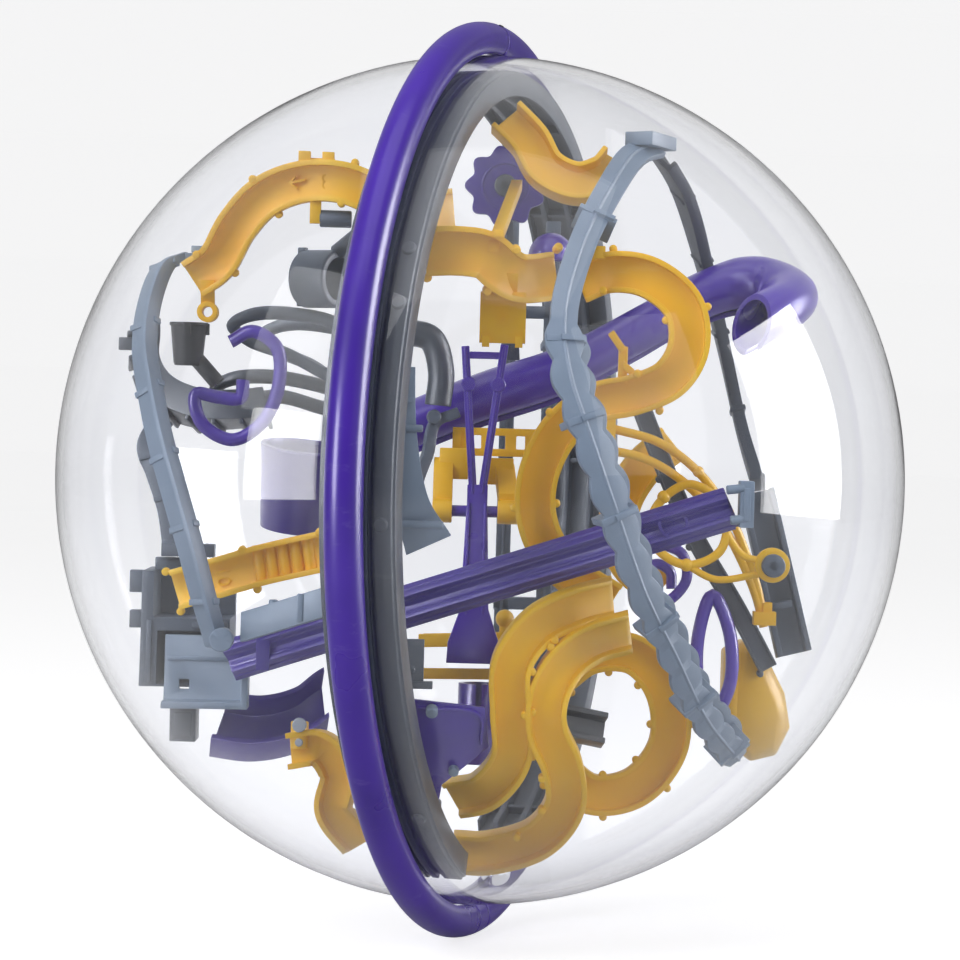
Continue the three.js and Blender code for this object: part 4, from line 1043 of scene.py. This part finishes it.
lobed = [disc_edge(a) for a in np.linspace(0, 2 * math.pi, 12 * LOBES, endpoint=False)]
piece("turning_disc", [
    hollowed(swept([spot(4, 0.5, 68), spot(4, 4.5, 68)], lobed, (0, 0, 1), 1),
    rod((4, -3, 68), (4, 8, 68), 1.6, 32, 0)),
    sleeve((4, 4.3, 68), (4, 4.8, 68), 5.6, 5.0, 48), sleeve((4, 0.2, 68), (4, 0.7, 68), 5.6, 5.0, 48),
], deep_purple, body="wheel", nodes=["purple_wheel"])
piece("disc_post", [rod((4, -6, 68), (4, 7, 68), 1.3), rod((4, 5.1, 68), (4, 7, 68), 2.6),
    strut((4, -5.5, 69), (7, -5.5, 28), 3, 3),
                    strut((4.6, -4.2, 62), (6.8, -4.2, 30), 0.7, 1.2)], dark_moulding, nodes=["wheel_axle"])

# ---- Dome ----
# A small half dome on a flat base behind the centre track, turned from the same purple as the
# ring and pushed on to its post.
dome_shape = mm([(0, 0), (5.2, 0), (5.25, 0.8)] + [(5.1 * math.cos(a),
    0.9 + 5.4 * math.sin(a)) for a in np.linspace(0.05, 1.5, 14)] + [(0, 6.3)])
piece("purple_dome", [turned(dome_shape, spot(14.5, 30, 50), spot(14.5, 30, 60), 40)], ring_purple)

# ---- Middle fittings ----
# The yellow ladder strip with three windows, the bent grey frame hooked over it, the dark half
# round elbow and the grey posts that stand behind.
piece("ladder_strip",
    [hollowed(block((3, 17, 9), 19, 2, 6.4), block((-1.5, 17, 9), 3, 6, 3), block((4, 17, 9), 3, 6, 3),
    block((9, 17, 9), 2, 6, 3)),
                       block((-5.4, 18.2, 9), 1.6, 1, 5.4)], track_yellow)
piece("hook_frame", [swept(run_of([(-5.5, 21.5, 15.5), (-10.5, 21.5, 13), (-12, 24, 6), (-14, 27, 0),
    (-15, 28, -7)]), plank(1.2, 1.2), way(0.4, 1, 0.2), 36),
                     rod((-10.8, 21, 14.4), (-10.8, 24.2, 14.4), 1.7)], mid_moulding)
piece("dark_elbow", [wire([(-18, 22, 33.5), (-12, 22, 32), (-9.5, 22, 25), (-10, 22, 17)], 3, steps=40)],
    dark_moulding)
POSTS = [((6, -34, 66), (6, -34, -60)), ((16, -34, 62), (16, -34, -62)), ((4, -34, 40), (18, -34, 40)),
    ((4, -34, -30), (18, -34, -30))]
piece("rear_posts", [strut(a, b, 3.5 if a[0] == b[0] else 3, 3) for a, b in POSTS]
      + [strut((s, -32.3, 60), (s, -32.3, -58), 0.8, 0.8) for s in (6, 16)], mid_moulding)

# ---- Curved side plates ----
# A pale plate that swells towards its foot, clipped to the hoop by two round bars, and the dark
# stepped plates below it.


def swelling(t):
    return 1 + 1.4 * t * t


CURVED_PLATE = run_of([(-16.6, 74.6, 25), (-16.2, 76.4, 10), (-14.4, 75.4, -4), (-10.6, 69.6, -13)])
piece("curved_side_plate", [
    swept(CURVED_PLATE, plank(2.2, 0.35), way(0, 1, 0.1), 40, size=swelling),
    rod((-18.5, 77, 12), (-12.4, 77, 12), 0.8), rod((-17.5, 75.4, -8.5), (-7.5, 75.4, -8.5), 0.9),
    block((-16.2, 76.8, 18), 3.4, 1.2, 1),
], pale_moulding)
piece("hoop_side_plates", [
    block((-16, 64, -38.5), 10, 1.6, 10), block((-15, 64.5, -43.3), 12, 3, 1.6),
    swept(run_of([(-19, 64.5, -41), (-18.5, 50, -58), (-14, 38, -70)]), plank(4, 0.8), way(0, 1, -0.3), 24),
    rod((-18.5, 65, -37), (-18.5, 66.4, -37), 1.2), rod((-13.5, 65, -40), (-13.5, 66.4, -40), 0.8),
], dark_moulding)

# ---- Top track ----
# The S of yellow track at the top, moulded with a plain U section. It runs from the hoop down to
# the arch, and takes the ball at the start of its way.
piece("top_s_track", [
    swept(run_of([(3.5, 21, 81.5), (9, 23, 76), (13, 26, 69.5), (20, 28, 66.5), (26, 27, 68.5),
    (29.5, 23, 72.5)]), channel(), way(0, 1, 0.4), 52),
], track_yellow)

# ---- Loop track ----
# The big yellow track: a loop at the top right, then an S down to the two lower lanes, with clip
# tabs on its top edge, nubs along its walls and a Y-shaped guide tab inside the loop.
LOOP_RUN = run_of([
    (20.5, 48, 44.5), (27, 51, 47), (35.5, 53, 46), (43, 54, 40), (44.5, 54, 31.5), (41, 53, 24.5),
    (33, 50, 20.5),
    (25, 48, 18.5), (17.5, 45, 12.5), (13, 42, 3), (12.5, 40, -6), (15.5, 39, -14), (22.5, 39, -21),
    (30, 40, -25.5),
])
piece("loop_track", [
    swept(LOOP_RUN, channel(), way(0, 1, 0), 120),
    studded(LOOP_RUN[1:-1], way(0, 1, 0), 6, [nub(4.7, 3.4), nub(-4.7, 3.4)], steps=90),
    block((30.5, 51.5, 27), 2, 3, 8), strut((30.5, 53, 30), (27.6, 53.5, 34), 1.6, 2),
    strut((30.5, 53, 27), (33, 53, 25), 1.6, 2),
    block((20.4, 53, 50.4), 2.6, 2.6, 3.6), block((24.6, 54, 51.2), 2.6, 2.6, 2.8),
], track_yellow)

# ---- Purple pipe ----
# A long smooth pipe in glossy purple, with a slit along its rear that lets it leave the mould. It
# rises to a U-bend, where it grows wider towards its open mouth.
PIPE_R = 6.4
PIPE_WALL = 1.2
pipe_open = [math.radians(250 - k * 320 / 24) for k in range(25)]
pipe_outline = mm([(PIPE_R * math.cos(a), PIPE_R * math.sin(a)) for a in pipe_open]
                  + [((PIPE_R - PIPE_WALL) * math.cos(a),
                  (PIPE_R - PIPE_WALL) * math.sin(a)) for a in reversed(pipe_open)])
PIPE_RUN = run_of([
    (-18, 8, 11), (-0.5, 8, 18.5), (17.5, 8, 25), (35.5, 5, 35), (48, 2.5, 42.5), (58.5, 2, 46.5),
    (66.5, 6, 46.5), (69, 14, 44), (66, 21.5, 40.5), (60, 27, 37),
])


def pipe_size(t):
    return 1 + max(0, t - 0.55) * 1.6 / PIPE_R


piece("purple_pipe", [swept(PIPE_RUN, pipe_outline, way(0, -0.3, 1), 110, size=pipe_size)], ring_purple)

# ---- Scalloped rail ----
# The pale rail over the right side: a face with a raised centre line and both edges cut in scallops,
# a second scalloped wall behind it, and short cross bars that tie the two.
RAIL_W = 6.4
RAIL_T = 1.4
RAIL_DEPTH = 4.6
RAIL_SHIFT = 2.6
SCALLOPS = 15
SCALLOP = 1.35
SCALLOP_FROM = 0.36
ARCH = run_of([
    (37.5, 19, 77), (33, 27, 75), (27, 44, 66), (20.5, 61, 52), (17, 72, 37), (18.5, 78, 24.5),
    (23.5, 80, 10.5), (29.5, 77.5, -5.5), (36, 71, -22), (43.5, 60, -36), (51, 45, -50), (60, 24, -61),
])


def lofted(places, outline_at, lift_at, stops):
    """A run whose outline changes: outline_at and lift_at give it and its upward way at each stop."""
    stops, points = even_run(places, stops)
    rings = []
    for k, t in enumerate(stops):
        here = Vector(points[k])
        along = (Vector(points[min(k + 1, len(points) - 1)]) - Vector(points[max(k - 1, 0)])).normalized()
        lift = lift_at(t, here)
        lift = (lift - along * lift.dot(along)).normalized()
        side = along.cross(lift)
        rings.append([here + side * x + lift * y for x, y in outline_at(t)])
    return skin(rings)


def scallop(t):
    u = (t - SCALLOP_FROM) / (1 - SCALLOP_FROM)
    return SCALLOP * (1 - 0.3 * u) * abs(math.sin(math.pi * SCALLOPS * u)) if u > 0 else 0


def rail_face(t):
    w = RAIL_W / 2 * (1 - 0.2 * t) + scallop(t)
    return mm([(-w, 0), (-0.45, 0.3), (0, 0.75), (0.45, 0.3), (w, 0), (w, -RAIL_T), (-w, -RAIL_T)])


def rail_back(t):
    w = RAIL_W / 2 * (1 - 0.2 * t)
    edge = w + RAIL_SHIFT + scallop(t)
    return mm([(2.2 - w, -RAIL_DEPTH), (-edge, -RAIL_DEPTH), (-edge, -RAIL_DEPTH - 1.2),
        (2.2 - w, -RAIL_DEPTH - 1.2)])


def outward(t, here):
    return here.normalized()


plain = [k / 20 * SCALLOP_FROM for k in range(20)]
waved = [SCALLOP_FROM + k / (SCALLOPS * 12) * (1 - SCALLOP_FROM) for k in range(SCALLOPS * 12 + 1)]
arch_bars = []
for t in (0.20, 0.38, 0.47, 0.58, 0.72, 0.85, 0.98):
    _, (before, here, after) = even_run(ARCH, [t - 0.01, t, min(t + 0.01, 1)])
    here = Vector(here)
    out = here.normalized()
    side = Vector(after - before).normalized().cross(out).normalized()
    ends = [here + side * (d / 1000) - out * (h / 1000) for d, h in ((-RAIL_W / 2 - 1.6, 2.6),
        (RAIL_W / 2 + 0.8, 2.6))]
    arch_bars.append(swept(ends, plank(0.8, 3), out, 1))
    arch_bars.append(swept([here - side * 0.0042 + out * 0.0004, here + side * 0.0008 + out * 0.0004],
        plank(0.7, 0.7), out, 1))
piece("scalloped_rail", [
    lofted(ARCH, rail_face, outward, plain + waved), lofted(ARCH, rail_back, outward, waved), *arch_bars,
    strut((33.5, 25, 78.2), (39.5, 15, 77.6), 7, 3),
], pale_moulding, bevel=0.00016)

# ---- Arch rear leg ----
# The dark ribbed leg that carries the arch down behind the soft glare of the bowl, a shallow
# channel that narrows towards its foot with collars along it.
LEG_RUN = run_of([(39.5, 12, 75), (45, 2, 67.5), (51, -10, 52), (56.5, -16, 33), (61.5, -15, 13),
    (65, -9, 1)])


def leg_outline(t):
    w = 4.6 - 1.6 * t
    return mm([(-w, -1.4), (w, -1.4), (w, 1.4), (w - 1.4, 1.4), (w - 1.4, 0), (1.4 - w, 0), (1.4 - w, 1.4),
        (-w, 1.4)])


def leg_lift(t, here=None):
    return way(0.7, 0, 0.7 - 0.6 * t)


leg_collar = brick((-0.0018, 0.0019), (-0.0036, 0.0036), (-0.0006, 0.0006))
piece("arch_rear_leg", [lofted(LEG_RUN, leg_outline, leg_lift, 48),
    studded(LEG_RUN[1:], leg_lift, 5, [leg_collar])],
      dark_moulding)

# ---- Side channel and inner leg ----
# A grey channel post at the right with the pin that the eyelet hangs on, and the dark flat leg
# that runs down inside it.
piece("side_channel", [
    swept(run_of([(63.5, 6, -1), (73, 8, -38)]), channel(8, 6, 1.3), way(0, 1, 0.1), 1),
    strut((61, 12.4, -16.5), (70, 12.4, -16.5), 3, 2.4), rod((65.5, 12, -16.5), (65.5, 41, -16.5), 1.3),
    rod((65.5, 38, -16.5), (65.5, 41, -16.5), 2.6),
    strut((66.5, 12.6, -27), (72, 12.6, -26), 2, 1.6),
], mid_moulding)
INNER_LEG = run_of([(36, 20, 18), (41, 20, 6), (49, 18, -11), (59, 16, -27), (67, 14, -41)])
piece("inner_grey_leg",
    [swept(INNER_LEG, mm([(-2.2, -1.5), (2.2, -1.5), (2.2, 1.5), (1.6, 1.5), (1.6, 0.7), (-1.6, 0.7),
    (-1.6, 1.5), (-2.2, 1.5)]), way(0, 1, 0), 40),
                         studded(INNER_LEG, way(0, 1, 0), 5, [nub(2.2, 0, 0.8, 2.4)])], dark_moulding)
piece("beam_end_clip", [block((57.5, 62, -2.5), 3, 8, 10), block((57.5, 66.2, -2.5), 1.4, 0.8, 7),
    rod((53, 65.3, 0.5), (57, 65.3, 1), 1), rod((54, 65.3, -6), (58, 65.3, -5.5), 1)],
      pale_moulding)

# ---- Wire rails ----
# Twin yellow rails of round section that carry the ball down to a clip. They are moulded with a
# block at each end that ties them, and with a knuckle on the upper rail.
WIRE = [(29, 30, 13), (40, 31, 10), (49, 31, 3.5), (56, 29, -5.5), (59.7, 27, -13), (63.4, 25, -23),
    (65, 23, -31)]


def beside(ds, dz):
    return [(s - ds * (1 - k / 6), f, z - dz * (1 - k / 6)) for k, (s, f, z) in enumerate(WIRE)]


piece("wire_rails", [wire(WIRE, 1), wire(beside(3.5, 4.5), 1), block((65, 23.5, -29), 5, 5, 3),
    block((28, 30, 10.5), 4, 4, 9),
                     knob(55.8, 29, -5.2, 1.4), knob(48.8, 31, 3.8, 1.3),
                     block((65.6, 23.5, -26.6), 2, 4, 2.4)],
      track_yellow)

# ---- Eyelet hoop ----
# A thin yellow hoop on two arms from an eyelet, moulded in one piece. It swings on the grey pin
# of the side channel, and stops the ball or lets it by.
es, ef, ez = 65.5, 36, -16.5
hoop_line = [(46.5, ef, 1), (39, ef, -5), (39.5, ef, -13), (46.5, ef, -17), (54, ef, -13.5), (54.5, ef, -4)]
piece("eyelet_hoop", [
    sleeve((es, ef - 1, ez), (es, ef + 1, ez), 3.9, 1.6, 40), wire(hoop_line, 1, steps=90, closed=True),
    wire([(55, ef, -9.5), (59, ef, -14.5), (63, ef, -15.6)], 0.8, steps=20),
    wire([(46.5, ef, -17), (53, ef, -20), (62.6, ef, -18.6)], 0.8, steps=20),
    knob(41, ef, -2, 1.5), knob(46.5, ef, -17, 1.5),
], track_yellow, body="eyelet")

# ---- Rear curved track, purple loops ----
# A yellow C of U-section track behind the beam. In front of it are a purple spiral and a long
# purple loop, both of round rod that is slightly glossy.
piece("rear_curved_track", [
    swept(run_of([(44, 8, 10), (37, 10, 4), (32, 12, -6), (34, 12, -17), (42, 10, -24)]),
    channel(9, 5, 1.2), way(0, 1, 0), 44),
], track_yellow)
piece("purple_spiral", [wire([
    (42, 25, -13), (46, 26, -15), (47, 26, -21), (42, 25, -26), (38, 24, -22), (40, 22.4, -17.5),
    (43.5, 22, -19), (44, 22, -23)], 1.2, steps=80)],
      ring_purple)
piece("purple_long_loop", [wire([
    (53, 27, -24), (50, 27, -34), (51, 26, -46), (54.5, 25, -50), (57.5, 26, -44), (57, 27, -32)], 1.5,
    steps=80, closed=True)],
      ring_purple)

# ---- Hood ----
# A yellow hood at the lower right that turns the ball round. It is a thin moulding, domed at the
# front and open at its back, with a rib down its side.
HOOD = [(57.5, -38), (62, -35.5), (67, -38.5), (71.5, -47), (73, -55), (70, -61.5), (64, -63), (57.5, -58)]


def hood_form(rows):
    return skin([[spot(64 + (s - 64) * g, f, -49 + (z + 49) * g) for s, z in HOOD] for f, g in rows])


piece("yellow_hood", [hollowed(hood_form([(-8, 1), (7, 1), (10.2, 0.86), (12, 0.6)]),
    hood_form([(-12, 0.84), (6, 0.84), (10, 0.5)])),
                      block((59.5, 9, -48), 2.4, 6, 12)],
      track_yellow, bevel=0.0006)

# ---- Lower tracks ----
# Two lanes side by side sweep down from the loop to the hoop at the bottom, a dark stub of channel
# behind them, and the oval yellow track further back.
LANE_FRONT = run_of([
    (34, 45, -31), (25.5, 50, -33.5), (19.5, 54, -38), (16, 57, -45), (16, 57, -52), (19.5, 54, -60),
    (20.5, 46, -69), (15, 37, -77.5), (4, 30, -82), (-3, 26.5, -82.5),
])
LANE_REAR = run_of([
    (30, 45, -23.6), (22, 50, -25.7), (13.5, 54, -30), (8, 57, -38), (8, 57, -48), (8.5, 54, -58),
    (3, 46, -66.5), (-4.5, 38, -69.5),
])
lane_lift = way(0, 0.9, -0.2)
piece("twin_lane_track", [
    swept(LANE_FRONT, channel(), lane_lift, 84), swept(LANE_REAR, channel(), lane_lift, 72),
    studded(LANE_FRONT[2:-2], lane_lift, 5, [nub(4.7, 3.4)]),
    studded(LANE_REAR[2:-2], lane_lift, 4, [nub(-4.7, 3.4)]),
], track_yellow)
OVAL = run_of([(19, 24, -43), (26, 24, -38), (36, 24, -38), (43, 24, -46), (44, 24, -58), (37, 24, -67.5),
    (27, 24, -69.5), (19, 24, -64)])
piece("oval_loop_track", [swept(OVAL, channel(), way(0, 1, 0), 84),
    studded(OVAL, way(0, 1, 0), 7, [nub(4.7, 3.4), nub(-4.7, 3.4)])],
      track_yellow)
piece("dark_u_channel",
    [swept(run_of([(14, 40, -52), (29, 36, -55)]), channel(7, 6, 1.3), way(0.1, 1, 0.3), 1)],
    black_moulding)

# ---- Steel ball ----
# The loose ball, a polished bearing ball in hard steel. It rests at the bottom of the right bowl
# beside the hoop, and is the only piece that isn't plastic.
BALL = 0.0035
low_, high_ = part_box("steel_ball")
rest = (low_ + high_) / 2
polished = bpy.data.materials.new("polished_steel")
polished.use_nodes = True
steel = polished.node_tree.nodes["Principled BSDF"]
steel.inputs["Metallic"].default_value = 1.0
steel_marks = wired(polished.node_tree, "ShaderNodeGroup", node_tree=marks)
steel_gloss = wired(polished.node_tree, "ShaderNodeMapRange",
    {"Value": steel_marks.outputs["Smears"], "To Min": 0.06, "To Max": 0.2})
polished.node_tree.links.new(steel_gloss.outputs[0], steel.inputs["Roughness"])
steel_shade = wired(polished.node_tree, "ShaderNodeMixRGB",
    {"Fac": steel_marks.outputs["Hairs"], "Color1": (0.62, 0.63, 0.65, 1), "Color2": (0.45, 0.46, 0.48, 1)})
polished.node_tree.links.new(steel_shade.outputs[0], steel.inputs["Base Color"])
ball_shape = ball_outline(BALL, math.pi / 2 - 0.06, 31)
piece("steel_ball_polished", [turned(ball_shape, rest, rest + Vector((0, 0, 1)), 48)], polished,
    body="ball",
      nodes=["steel_ball"], bevel=0)
